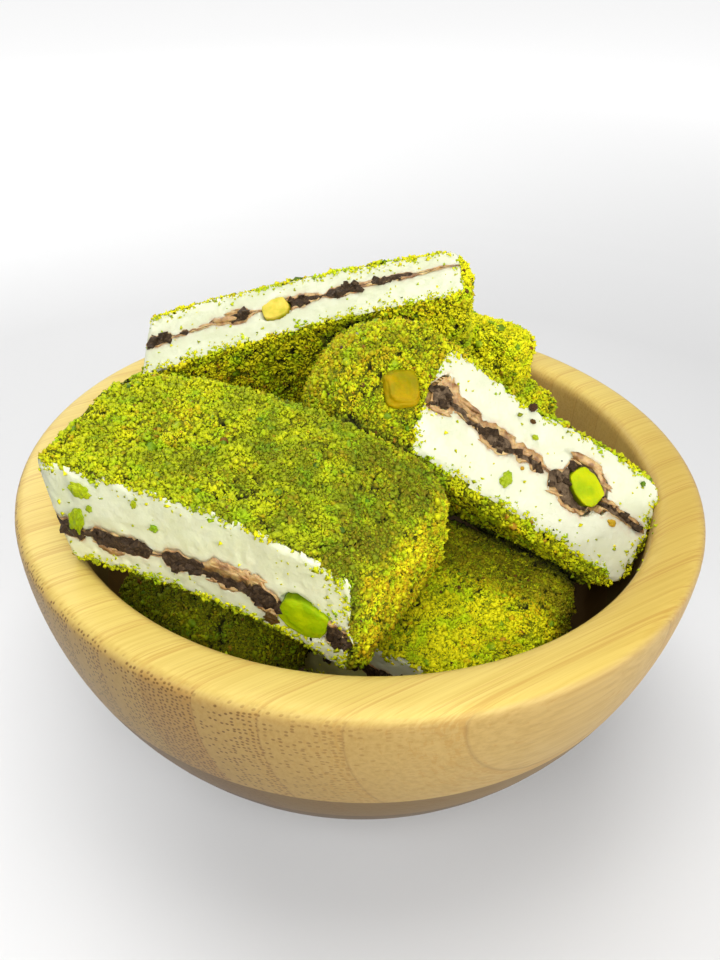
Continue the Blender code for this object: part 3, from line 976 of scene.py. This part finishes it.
# %% Chocolate and caramel finishes
def chocolate_finish(name, dark, middle, pale):
    chocolate = Finish(name, Roughness=0.6, Specular_IOR_Level=0.25)
    where = chocolate.place()
    lumpy = chocolate.noise(where, 1.5, 4.0, 0.6)
    colour = chocolate.ramp(lumpy, (0.3, srgb(*dark)), (0.55, srgb(*middle)), (0.75, srgb(*pale)))
    chocolate.paint(colour, chocolate.noise(where, 2.2, 5.0, 0.6), 0.4)
    return chocolate


chocolate = chocolate_finish("chocolate", (38, 26, 12), (70, 52, 32), (112, 90, 62))
smeared = chocolate_finish("smeared", (64, 48, 30), (108, 88, 64), (146, 122, 92))
caramel = Finish("caramel", Roughness=0.42, Coat_Weight=0.2, Coat_Roughness=0.3)
caramel.put(caramel.shader, {"Subsurface Weight": 0.15, "Subsurface Scale": 0.001})
where = caramel.place()
tans = ((0.35, srgb(136, 96, 54)), (0.5, srgb(190, 148, 90)), (0.68, srgb(216, 184, 122)))
patches = caramel.ramp(caramel.noise(where, 0.6, 3.0), *tans)
caramel.paint(patches, caramel.noise(where, 2.5, 4.0), 0.25, 0.8)

# %% Filling
DRAWN_IN = 1.0  # how far the filling stays inside the coat, mm
DRAWN_IN_LEFT = 1.8
BEHIND_COAT = 1.2  # how far it stays behind where the coat covers the cut
CHOCOLATE_STANDS = 0.1
CARAMEL_STANDS = 0.12


def make_filling(slab, name, lower, upper, levels, stand):
    """A layer between two surfaces whose front stands out of or into the cut unevenly."""
    mesh = block_mesh(name, (150, 30, levels))
    x, y, z, (_, v, _), _ = shape_layer(mesh, slab, lower, upper)
    if slab.coats[1] > 0:
        x = np.where(x > 0, x * (1 - 2 * DRAWN_IN / slab.length), x)
    if slab.coats[3] > 0:
        x = np.where(x < 0, x * (1 - 2 * DRAWN_IN_LEFT / slab.length), x)
    if slab.coats[2] > 0:
        y = np.where(y > 0, y * (1 - 2 * DRAWN_IN / slab.depth), y)
    stand = stand + flat_ripples(x, z, (0.3, 1.7, 41), (0.25, 0.8, 42))
    back = np.where(x < coat_end(slab, z, 0.8), BEHIND_COAT, kernel_hollow(slab, x, z) - stand)
    move_points(mesh, slab.placed(bend(slab, x, np.where(v < -AT_SIDE, y + back, y), z)))
    return mesh


def join_meshes(name, meshes):
    bm = bmesh.new()
    for mesh in meshes:
        bm.from_mesh(mesh)
    return as_mesh(bm, name)


for slab in LAYERED:
    node = f"{slab.name}_filling"
    filling = make_filling(slab, node, 2, 3, 6, CHOCOLATE_STANDS)
    broken = smeared if slab is RIGHT else chocolate
    add_piece(f"{node}_shown", filling, [broken], "chocolate_filling", [node])
    films = [make_filling(slab, "film", step, step + 1, 2, CARAMEL_STANDS) for step in (1, 3)]
    films = join_meshes("films", films)
    add_piece(f"{slab.name}_caramel", films, [caramel], "chocolate_filling")

# %% [markdown]
# ### Whole kernels
# A pistachio kernel cut by the knife is an egg with one flat side, a little boxy, bright inside
# and darker at its thin skin. Each one starts as a fine ball, is squared up, sized, turned, moved
# into the filling and cut level with the slab. One kernel lies whole under the coat.


# %% Finish of a kernel
def kernel_finish(name, colour):
    finish = Finish(name, Roughness=0.5, Specular_IOR_Level=0.08)
    finish.put(finish.shader, {"Subsurface Weight": 0.15, "Subsurface Scale": 0.001})
    red, green, blue = colour
    where = finish.place()
    dull = srgb(red * 0.88, green * 0.94, blue * 0.8)
    bright = srgb(min(255, red * 1.1), min(255, green * 1.05), blue * 1.3)
    inside = finish.ramp(finish.noise(where, 0.35, 3.0), (0.35, dull), (0.65, bright))
    colour = finish.mix(finish.attribute("rim"), inside, srgb(red * 0.7, green * 0.74, 6))
    finish.paint(colour, finish.noise(where, 1.1, 4.0), 0.25, 0.6)
    return finish


# %% Shape of a kernel
KERNEL_STAND = 0.55  # how far a cut kernel stands out of the slab's cut
KERNEL_DOME = 0.13  # how much of its roundness the cut side keeps
SQUARENESS = 0.74  # 1 is an egg, less is boxier
WHOLE_SQUARENESS = 0.5
WHOLE_RIM = 0.4  # how much of the skin's colour shows on a whole kernel


def turn_points(bm, degrees):
    turn = Matrix.Rotation(math.radians(degrees), 3, "Y")
    bmesh.ops.rotate(bm, matrix=turn, verts=bm.verts)


def make_kernel(kernel):
    bm = bmesh.new()
    bmesh.ops.create_icosphere(bm, subdivisions=5, radius=1)
    power = WHOLE_SQUARENESS if kernel.whole else SQUARENESS
    for vertex in bm.verts:
        squared = [math.copysign(abs(value) ** power, value) for value in vertex.co]
        uneven = 0.12 * noise.noise(vertex.co * 1.7) + 0.03 * noise.noise(vertex.co * 6)
        vertex.co = Vector(squared) * (0.94 + uneven)
    bmesh.ops.scale(bm, vec=kernel.halves, verts=bm.verts)
    turn_points(bm, kernel.turn)
    centre = bend(kernel.slab, *(np.array([float(value)]) for value in kernel.place))[0]
    bmesh.ops.translate(bm, vec=centre, verts=bm.verts)
    front = -kernel.slab.depth / 2
    if not kernel.whole:
        for vertex in bm.verts:
            level = front - KERNEL_STAND + 0.1 * noise.noise(vertex.co * 0.8)
            vertex.co.y += min(0, vertex.co.y - level) * (KERNEL_DOME - 1)
    shade_smooth(bm)
    mesh = as_mesh(bm, kernel.name)
    points = points_of(mesh)
    skin = np.clip((points[:, 1] - front + KERNEL_STAND - 0.1) / 0.5, 0, 1)
    write_values(mesh, "rim", skin * WHOLE_RIM if kernel.whole else skin)
    move_points(mesh, kernel.slab.placed(points))
    return mesh


for kernel in KERNELS:
    finish = kernel_finish(f"{kernel.name}_flesh", kernel.colour)
    mesh = make_kernel(kernel)
    add_piece(f"{kernel.name}_shown", mesh, [finish], "pistachio_kernel", [kernel.name])

# %% [markdown]
# ## Ground pistachio
# The coat is tens of thousands of angular crumbs, most of them 0.3 to 0.7 mm across, pressed
# into the nougat. Each is a ball of only six triangles with its corners pushed about. They are
# strewn at random on the coated faces, but only where light from outside can reach, so none is
# spent where nobody can ever look. Larger flakes, bits of brown skin and loose crumbs follow.


# %% Forms of a crumb
def crumb_forms(count, seed, jitter, create, **sizes):
    """Corners and triangles of a few angular lumps about 1 across."""
    chance = np.random.default_rng(seed)
    forms = []
    for _ in range(count):
        bm = bmesh.new()
        create(bm, **sizes)
        for vertex in bm.verts:
            vertex.co += Vector(chance.uniform(-jitter, jitter, 3)) * 0.8
        bmesh.ops.recalc_face_normals(bm, faces=bm.faces)
        bmesh.ops.triangulate(bm, faces=bm.faces)
        corners = np.array([vertex.co[:] for vertex in bm.verts])
        faces = np.array([[vertex.index for vertex in face.verts] for face in bm.faces])
        bm.free()
        forms.append((corners, faces))
    return forms


BALL, CUBE, CONE = bmesh.ops.create_uvsphere, bmesh.ops.create_cube, bmesh.ops.create_cone
CONE_SIZES = {"cap_ends": True, "segments": 7, "radius1": 0.5, "radius2": 0.4, "depth": 0.32}
grains = crumb_forms(24, 5, 0.26, BALL, u_segments=3, v_segments=2, radius=0.65)
flakes = crumb_forms(12, 6, 0.12, CONE, **CONE_SIZES)
blocks = crumb_forms(16, 12, 0.16, CUBE, size=0.8)
folds = crumb_forms(16, 13, 0.05, BALL, u_segments=8, v_segments=4, radius=0.5)


# %% Strewing
def random_turns(chance, count):
    """Rotation matrices spread evenly over all directions."""
    quaternion = chance.normal(size=(4, count))
    w, x, y, z = quaternion / np.linalg.norm(quaternion, axis=0)
    rows = (
        (1 - 2 * (y * y + z * z), 2 * (x * y - z * w), 2 * (x * z + y * w)),
        (2 * (x * y + z * w), 1 - 2 * (x * x + z * z), 2 * (y * z - x * w)),
        (2 * (x * z - y * w), 2 * (y * z + x * w), 1 - 2 * (x * x + y * y)),
    )
    return np.array(rows).transpose(2, 0, 1)


def flat_turns(chance, normals, lean):
    """Rotations that lay a flat chip on each normal, with a little lean."""
    up = normals + chance.normal(scale=lean, size=normals.shape)
    up /= np.linalg.norm(up, axis=1, keepdims=True)
    side = np.cross(up, chance.normal(size=normals.shape))
    side /= np.linalg.norm(side, axis=1, keepdims=True)
    return np.stack([side, np.cross(up, side), up], axis=2)


def some_sizes(chance, count, middle, widening, least, most):
    """Sizes of three sides for each crumb, around the middle size."""
    sizes = np.clip(chance.lognormal(math.log(middle), widening, count), least, most)
    return sizes[:, None] * chance.uniform(0.7, 1.3, (count, 3))


def strew(name, forms, chance, places, turns, sizes, tones, finish, slot="pistachio_crust"):
    """One mesh of many crumbs. Each has a tone from 0 to 2 that picks its colour."""
    which = chance.integers(len(forms), size=len(places))
    all_corners, all_faces, all_tones = [], [], []
    start = 0
    for index, (corners, faces) in enumerate(forms):
        chosen = which == index
        scaled = corners[None] * sizes[chosen][:, None, :]
        turned = np.einsum("nij,nkj->nki", turns[chosen], scaled) + places[chosen][:, None]
        offsets = start + np.arange(len(turned)) * len(corners)
        all_corners.append(turned.reshape(-1, 3))
        all_faces.append((faces[None] + offsets[:, None, None]).reshape(-1, 3))
        all_tones.append(np.repeat(tones[chosen], len(corners)))
        start += len(turned) * len(corners)
    mesh = bpy.data.meshes.new(name)
    mesh.from_pydata(np.concatenate(all_corners) * MM, [], np.concatenate(all_faces))
    write_values(mesh, "tone", np.concatenate(all_tones))
    mesh.polygons.foreach_set("use_smooth", np.full(len(mesh.polygons), forms is not blocks))
    return add_piece(name, mesh, [finish], slot)


def strew_fresh(name, chance, places, tone, *sizes):
    """Fresh crumbs at the places, with a random size, tone and turn each."""
    count = len(places)
    sizes = some_sizes(chance, count, *sizes)
    tones = np.clip(chance.normal(tone, 0.2, count), 0, 1)
    strew(name, grains, chance, places, random_turns(chance, count), sizes, tones, crumb_green)


# %% Crumb finishes
BROWNED = (0.86, 0.64, 0.6)
PATCHES = (
    # scale, where the patch starts in the noise, tint
    (0.3, 0.5, (0.7, 0.92, 0.6)),
    (0.42, 0.58, (0.95, 0.8, 0.6)),
)


def crumb_finish(name, roughness, *stops):
    """The attribute called tone picks a colour, and fine noise breaks it up.

    A tone from 0 to 1 is fresh nut, and from 1 to 2 the same colours, browned.
    """
    finish = Finish(name, Roughness=roughness, Specular_IOR_Level=0.25)
    tone = finish.attribute("tone")
    browned = finish.math("GREATER_THAN", tone, 1.0)
    colour = finish.ramp(
        finish.math("SUBTRACT", tone, browned), *((at, srgb(*paint)) for at, paint in stops)
    )
    colour = finish.tinted(colour, finish.mix(browned, WHITE, BROWNED))
    fine = finish.noise(finish.place(), 4.5, 3.0)
    shade = finish.ramp(fine, (0.35, (0.82, 0.83, 0.6)), (0.6, (1.03, 1.03, 1.0)))
    colour = finish.tinted(colour, shade)
    for scale, start, tint in PATCHES:
        broad = finish.noise(finish.place(), (scale, scale, -scale), 3.0)
        colour = finish.tinted(colour, finish.ramp(broad, (start, WHITE), (start + 0.14, tint)))
    finish.paint(colour, fine, 0.12, 0.5)
    return finish


crumb_green = crumb_finish(
    "crumb_green", 0.75,
    (0.0, (22, 24, 2)), (0.12, (112, 122, 3)), (0.3, (166, 178, 3)), (0.5, (200, 208, 4)),
    (0.75, (226, 224, 6)), (0.9, (240, 234, 16)), (1.0, (252, 246, 20)),
)
flake_green = crumb_finish(
    "flake_green", 0.5,
    (0.0, (66, 92, 8)), (0.2, (100, 130, 4)), (0.55, (140, 166, 4)), (1.0, (176, 190, 6)),
)
skin_brown = crumb_finish(
    "skin_brown", 0.6, (0.0, (70, 40, 12)), (0.4, (140, 92, 14)), (1.0, (206, 160, 30))
)

# %% Where light can reach
FARTHEST = 0.3  # metres; past this a ray has left the bowl
RAYS = 7
all_points, all_faces = [], []
for mesh in (bowl.data, *(mesh for _, meshes in coated_meshes for mesh in meshes)):
    first = len(all_points)
    all_points += points_of(mesh).tolist()
    all_faces += [[first + corner for corner in face.vertices] for face in mesh.polygons]
occluders = BVHTree.FromPolygons(all_points, all_faces)
print("faces that can keep light out:", len(all_faces))


def open_to_light(places, normals, chance):
    """Whether any of a few random rays from each place gets away from the bowl."""
    directions = chance.normal(size=(len(places), RAYS, 3))
    facing = np.einsum("nrj,nj->nr", directions, normals)
    directions *= np.where(facing < 0, -1, 1)[:, :, None]
    starts = (places + normals) * MM
    return np.array(
        [
            any(occluders.ray_cast(start, way, FARTHEST)[0] is None for way in ways)
            for start, ways in zip(starts.tolist(), directions.tolist())
        ]
    )


# %% How deep in a crevice
# Painted shade: the coat and its crumbs are darkened where another slab nearly touches them.
CREVICE = 3.2  # how near another slab has to be to shade the coat, mm
CREVICE_SHADE = 0.8


def nearest(places, others):
    """The nearest of the other points to each place, and how far away it is."""
    tree = KDTree(len(others))
    for index, other in enumerate(others.tolist()):
        tree.insert(other, index)
    tree.balance()
    found = [tree.find(place) for place in places.tolist()]
    return np.array([point[:] for point, _, _ in found]), np.array([far for _, _, far in found])


def crevice(slab, places, normals):
    """1 where another slab all but touches this one from outside, 0 some 3 mm away from it."""
    others = [mesh for other, meshes in coated_meshes if other is not slab for mesh in meshes]
    points = np.concatenate([points_of(mesh)[::2] for mesh in others]) / MM
    found, away = nearest(places, points)
    ahead = np.einsum("ij,ij->i", found - places, normals)
    return smooth((CREVICE - away) / (CREVICE - 0.6)) * (ahead > -0.2 * away)


# Painted shade in crevices goes into the same attribute as the cracks.
for slab, meshes in coated_meshes:
    for mesh in meshes:
        pit = mesh.attributes["pit"].data
        shaded = CREVICE_SHADE * crevice(slab, points_of(mesh) / MM, normals_of(mesh))
        pit.foreach_set("value", np.maximum(read(pit, "value", 1), shaded))


# %% Places on the coat
def triangles_with(meshes, finish_index):
    """Corners of the faces that take this finish, each quad as two triangles, in mm."""
    halves = []
    for mesh in meshes:
        corners = read(mesh.loops, "vertex_index", 1, int).reshape(-1, 4)
        chosen = read(mesh.polygons, "material_index", 1, int) == finish_index
        quads = (points_of(mesh) / MM)[corners[chosen]]
        halves += [quads[:, [0, 1, 2]], quads[:, [0, 2, 3]]]
    return np.concatenate(halves)


def places_on(triangles, density, chance):
    """Random places on the triangles, so many to a square mm, with the normal at each."""
    first, second, third = triangles.transpose(1, 0, 2)
    crossed = np.cross(second - first, third - first)
    doubled = np.linalg.norm(crossed, axis=1)
    count = int(doubled.sum() / 2 * density)
    chosen = chance.choice(len(triangles), size=count, p=doubled / doubled.sum())
    a, b = np.sqrt(chance.random(count))[:, None], chance.random(count)[:, None]
    first, second, third = first[chosen], second[chosen], third[chosen]
    places = first * (1 - a) + second * (a * (1 - b)) + third * (a * b)
    return places, crossed[chosen] / doubled[chosen][:, None]


def in_slab(slab, places):
    """Places in the bowl, given in the slab's own millimetres."""
    return (places - np.array(slab.centre)) @ slab.axes()


# %% Tones of the coat
DARKEST_FRESH = 0.2


def browned_share(slab, places):
    """How many of the crumbs here have gone brown, which some ends of slabs show."""
    x, y, _ = in_slab(slab, places).T
    share = 0.03 + 0.4 * np.clip(ripples(places, (1, 7.0, 8)), 0, 1)
    if slab is LOW:
        return 0.4 * share + 0.9 * smooth((y - 0.5) / 5)
    if slab is RIGHT:
        return share + 0.3 * smooth((-9 - x) / 6)
    if slab is FRONT:
        return share + 0.35 * smooth((x - 10) / 8)
    return share + 0.3 * (slab is UNDER) - 0.7 * share * (slab is BACK)


def coat_tones(slab, places, normals, chance):
    """Painted light and shade in the tones: paler at the front slab's end, darker where other
    slabs shade the coat and dark in crevices; browned here and there.
    """
    patch = ripples(places, (0.3, 5.0, 4), (0.2, 1.8, 5))
    x, y, z = in_slab(slab, places).T
    if slab is FRONT:
        # Painted shadow of the right slab darkens the front slab's coat towards the right;
        # painted light makes its end paler.
        end = slab.length / 2 + slab.skew[1] * y / slab.depth + slab.lean[1] * z
        patch += -0.02 - 0.007 * x + 0.7 * smooth((x - end + 2.8) / 2)
    if slab is REAR:
        # Painted shade: the rear slab's coat darkens away from its cut, down its underside.
        patch += 0.3 - 0.3 * smooth((y + slab.depth / 2) / 16)
    if slab is LOW:
        # Painted shadow of the right slab: the low slab's coat darkens towards its back.
        patch -= 0.2 * smooth((y - 1.0) / 7)
    tones = np.clip(chance.normal(slab.nut_tone_and_light, 0.06, len(x)) + patch, DARKEST_FRESH, 0.999)
    if slab is LOW:
        # More painted shadow of the right slab over the back of the low slab.
        tones *= 1 - 0.65 * smooth((y - 0.5) / 6)
    # Painted shade in crevices between slabs.
    tones = np.maximum(tones * (1 - crevice(slab, places, normals)), 0.001)
    return tones + (chance.random(len(x)) < browned_share(slab, places))


# %% The coat of each slab
CRUMB_DENSITY = 11.0  # crumbs to a square millimetre
MOST_IN_A_PIECE = 32000
for slab, meshes in coated_meshes:
    chance = np.random.default_rng(int(slab.length * 10))
    places, normals = places_on(triangles_with(meshes, 1), CRUMB_DENSITY, chance)
    bare = ripples(places, (1, 2.6, 2), (0.8, 1.0, 3)) < -0.85
    bare |= cracks(in_slab(slab, places)) > 0.35
    keep = ~bare & open_to_light(places, normals, chance)
    places, normals = places[keep], normals[keep]
    count = len(places)
    sizes = some_sizes(chance, count, 0.36, 0.4, 0.18, 1.1)
    tones = coat_tones(slab, places, normals, chance)
    lift = chance.uniform(-0.15, 0.5, count)[:, None] * sizes.mean(axis=1, keepdims=True)
    places = places + normals * lift
    turns = random_turns(chance, count)
    parts = math.ceil(count / MOST_IN_A_PIECE)
    for part in range(parts):
        own = (values[part::parts] for values in (places, turns, sizes, tones))
        strew(f"{slab.name}_crumbs_{part + 1}", grains, chance, *own, crumb_green)

# %% Flakes and skins in the coat
for label, density, finish, middle in (
    ("green_flakes", 0.035, flake_green, 1.0),
    ("brown_skins", 0.04, skin_brown, 0.6),
):
    chance = np.random.default_rng(77)
    gathered = []
    for _, meshes in coated_meshes:
        places, normals = places_on(triangles_with(meshes, 1), density, chance)
        keep = open_to_light(places, normals, chance)
        gathered.append((places[keep], normals[keep]))
    places, normals = (np.concatenate(parts) for parts in zip(*gathered))
    sizes = some_sizes(chance, len(places), middle, 0.3, 0.5, 2.6)
    turns = flat_turns(chance, normals, 0.25)
    tones = chance.random(len(places))
    strew(label, flakes, chance, places + normals * 0.12, turns, sizes, tones, finish)

# %% [markdown]
# ### What the knife left on the cuts
# The cut drags crumbs over the nougat, most of them close to the coat. Where it breaks the
# filling, splinters of chocolate and shreds of caramel stand a little out of the cut.

# %% Crumbs on the cuts
SPARSE, DENSE = 0.012, 0.9  # share of the places that take a crumb, far from the coat and at it
gathered = []
chance = np.random.default_rng(31)
for slab, meshes in coated_meshes[: len(LAYERED)]:  # these were made first
    places, normals = places_on(triangles_with(meshes, 0), 9.0, chance)
    on_front = normals @ (slab.axes() @ (0, -1, 0)) > 0.3
    places = places[on_front]
    _, to_coat = nearest(places, triangles_with(meshes, 1).mean(axis=1))
    patchy = np.clip(0.7 + ripples(places, (1.4, 3.5, 7)), 0.15, 2)
    reach = 0.5 + (slab is FRONT) * 1.1 * smooth((in_slab(slab, places)[:, 0] - 12) / 8)
    wanted = SPARSE + DENSE * patchy * np.exp(-np.maximum(to_coat - 0.45, 0) / reach)
    gathered.append(places[chance.random(len(places)) < wanted])
strew_fresh("crumbs_on_the_cuts", chance, np.concatenate(gathered), 0.62, 0.4, 0.35, 0.2, 0.9)


# %% Splinters of chocolate and shreds of caramel
def on_cut(slab, x, z, out):
    """Places in the bowl for points of a slab's cut that stand out by so much."""
    return slab.placed(bend(slab, x, np.zeros_like(x) - slab.depth / 2 - out, z)) / MM


def splinters(slab, chance, spans, lower, per_mm):
    """Random x and z between a surface and the next one at the cut, over the spans."""
    found = []
    for start, end, value in spans:
        x = chance.uniform(start, end, int((end - start) * per_mm * min(1.5, value)))
        heights = layer_heights(slab, x, np.full_like(x, -slab.depth / 2))
        share = chance.uniform(0, 1, len(x))
        found.append((x, heights[lower] + (heights[lower + 1] - heights[lower]) * share))
    x, z = (np.concatenate(parts) for parts in zip(*found))
    outside = np.abs(x) > slab.length / 2 - 0.9
    hidden = outside | (kernel_hollow(slab, x, z) > 0.2) | (x < coat_end(slab, z, 1.0))
    return x[~hidden], z[~hidden]


def leaning_turns(slab, chance, count, lean):
    """The slab's own turn, each time with a random lean about this large."""
    small = [
        Matrix.Rotation(chance.normal(0, lean), 3, axis) for axis in "XYZ" for _ in range(count)
    ]
    small = np.array([matrix[:] for matrix in small]).reshape(3, count, 3, 3)
    return slab.axes() @ small[0] @ small[1] @ small[2]


chance = np.random.default_rng(57)
for label, forms, finish, middle, shape, lean, films in (
    # the films: spans, the surface below, splinters to a millimetre
    (
        "chocolate_splinters", blocks, chocolate, 1.05, (1.3, 0.8, 0.75), 0.6,
        (("chunks", 2, 3.2),),
    ),
    (
        "caramel_shreds", folds, caramel, 0.5, (4.6, 0.9, 0.9), 0.12,
        (("upper_film", 3, 1.5), ("lower_film", 1, 0.8)),
    ),
):
    all_places, all_turns = [], []
    for slab in LAYERED:
        for spans, lower, per_mm in films:
            if not getattr(slab, spans):
                continue
            x, z = splinters(slab, chance, getattr(slab, spans), lower, per_mm)
            all_places.append(on_cut(slab, x, z, chance.uniform(-0.3, 0.12, len(x))))
            all_turns.append(leaning_turns(slab, chance, len(x), lean))
    places, turns = np.concatenate(all_places), np.concatenate(all_turns)
    sizes = some_sizes(chance, len(places), middle, 0.35, 0.4, 1.7) * shape
    tones = chance.random(len(places))
    strew(label, forms, chance, places, turns, sizes, tones, finish, "chocolate_filling")

# %% Bits of nut that show on two of the cuts
BITS = (
    # slab, x, z, width, height, turn, tone, finish
    (FRONT, -20.3, 5.4, 3.2, 2.4, 16, 1.0, flake_green),
    (FRONT, -22.4, -0.4, 2.2, 5.2, 8, 0.85, flake_green),
    (FRONT, -19.6, 2.5, 1.0, 1.2, 0, 0.7, flake_green),
    (FRONT, -12.3, 5.7, 0.8, 1.4, 0, 0.9, flake_green),
    (FRONT, -9.6, 2.4, 1.2, 1.2, 20, 0.7, flake_green),
    (FRONT, 10.4, -6.0, 2.2, 1.9, 0, 0.1, skin_brown),
    (RIGHT, 3.0, 9.0, 1.3, 1.6, 30, 0.0, skin_brown),
    (RIGHT, 4.1, 6.8, 1.0, 0.8, 0, 0.1, skin_brown),
    (RIGHT, 5.8, 4.5, 1.1, 0.9, 0, 0.9, flake_green),
    (RIGHT, 4.8, -3.6, 1.9, 2.6, -10, 0.8, flake_green),
    (RIGHT, 6.3, -0.6, 0.7, 0.6, 0, 0.9, skin_brown),
    (RIGHT, 24.5, -0.3, 1.5, 1.1, 0, 1.0, skin_brown),
    (RIGHT, 26.6, 7.7, 0.9, 0.9, 0, 0.2, flake_green),
)


def make_bit(slab, x, z, width, height, turn, seed):
    """A flat rough flake of nut lying on a cut, in metres in the bowl."""
    bm = bmesh.new()
    bmesh.ops.create_icosphere(bm, subdivisions=3, radius=0.5)
    for vertex in bm.verts:
        vertex.co *= 1 + 0.5 * noise.noise(vertex.co * 4.5 + Vector((seed, 0, 0)))
    bmesh.ops.scale(bm, vec=(width, 0.3 * (width + height) / 2 + 0.35, height), verts=bm.verts)
    turn_points(bm, turn)
    middle = on_cut(slab, np.array([x]), np.array([z]), 0.15)[0]
    tilt = slab.matrix().to_3x3()
    for vertex in bm.verts:
        vertex.co = (tilt @ vertex.co + Vector(middle)) * MM
    return as_mesh(bm, "bit")


for label, finish in (("green_bits", flake_green), ("brown_bits", skin_brown)):
    bits, tones = [], []
    for seed, (*where, tone, look) in enumerate(BITS):
        if look is finish:
            bits.append(make_bit(*where, seed))
            tones += [tone] * len(bits[-1].vertices)
    joined = join_meshes(label, bits)
    write_values(joined, "tone", tones)
    add_piece(label, joined, [finish], "pistachio_crust")

# %% Loose crumbs on the lip
LOOSE = 18
HEAPS = (-118, -112, -32, -24, -18)  # degrees round the lip where crumbs have dropped
chance = np.random.default_rng(91)
azimuth = np.radians(chance.choice(HEAPS, size=LOOSE) + chance.normal(0, 2.2, LOOSE))
angle = math.pi * chance.uniform(0.82, 0.98, LOOSE)
radius, height = np.array([lip_point(value) for value in angle]).T
places = np.stack([radius * np.cos(azimuth), radius * np.sin(azimuth), height + 0.1], axis=1)
strew_fresh("crumbs_on_the_lip", chance, places, 0.45, 0.38, 0.3, 0.25, 0.8)

# %% [markdown]
# ## Floor
# A plain pale sheet that curves up far away on all sides. It glows a little away from the bowl,
# where the lamps do not reach, so that the surroundings stay evenly pale. It throws no light
# back on the bowl.

# %% Floor
FLOOR_REACH = 14.0  # metres
FLOOR_RISE = 8.0

floor = Finish("floor", Roughness=0.9, Base_Color=(0.8, 0.8, 0.8), Emission_Color=WHITE)
far = floor.vector("LENGTH", floor.add("TexCoord", output="Object"), output="Value")
glow = floor.times(floor.line(far, 2.2, -0.45, True), 0.85)
floor.put(floor.shader, {"Emission Strength": glow})
bm = bmesh.new()
bmesh.ops.create_grid(bm, x_segments=40, y_segments=40, size=FLOOR_REACH)
for vertex in bm.verts:
    away = vertex.co.length / FLOOR_REACH
    vertex.co.z = FLOOR_RISE * float(smooth((away - 0.4) / 0.6))
shade_smooth(bm)
floor_piece = bpy.data.objects.new("floor", as_mesh(bm, "floor"))
floor_piece.data.materials.append(floor.material)
scene.collection.objects.link(floor_piece)
floor_piece.visible_diffuse = False
print("floor:", 2 * FLOOR_REACH, "m across")
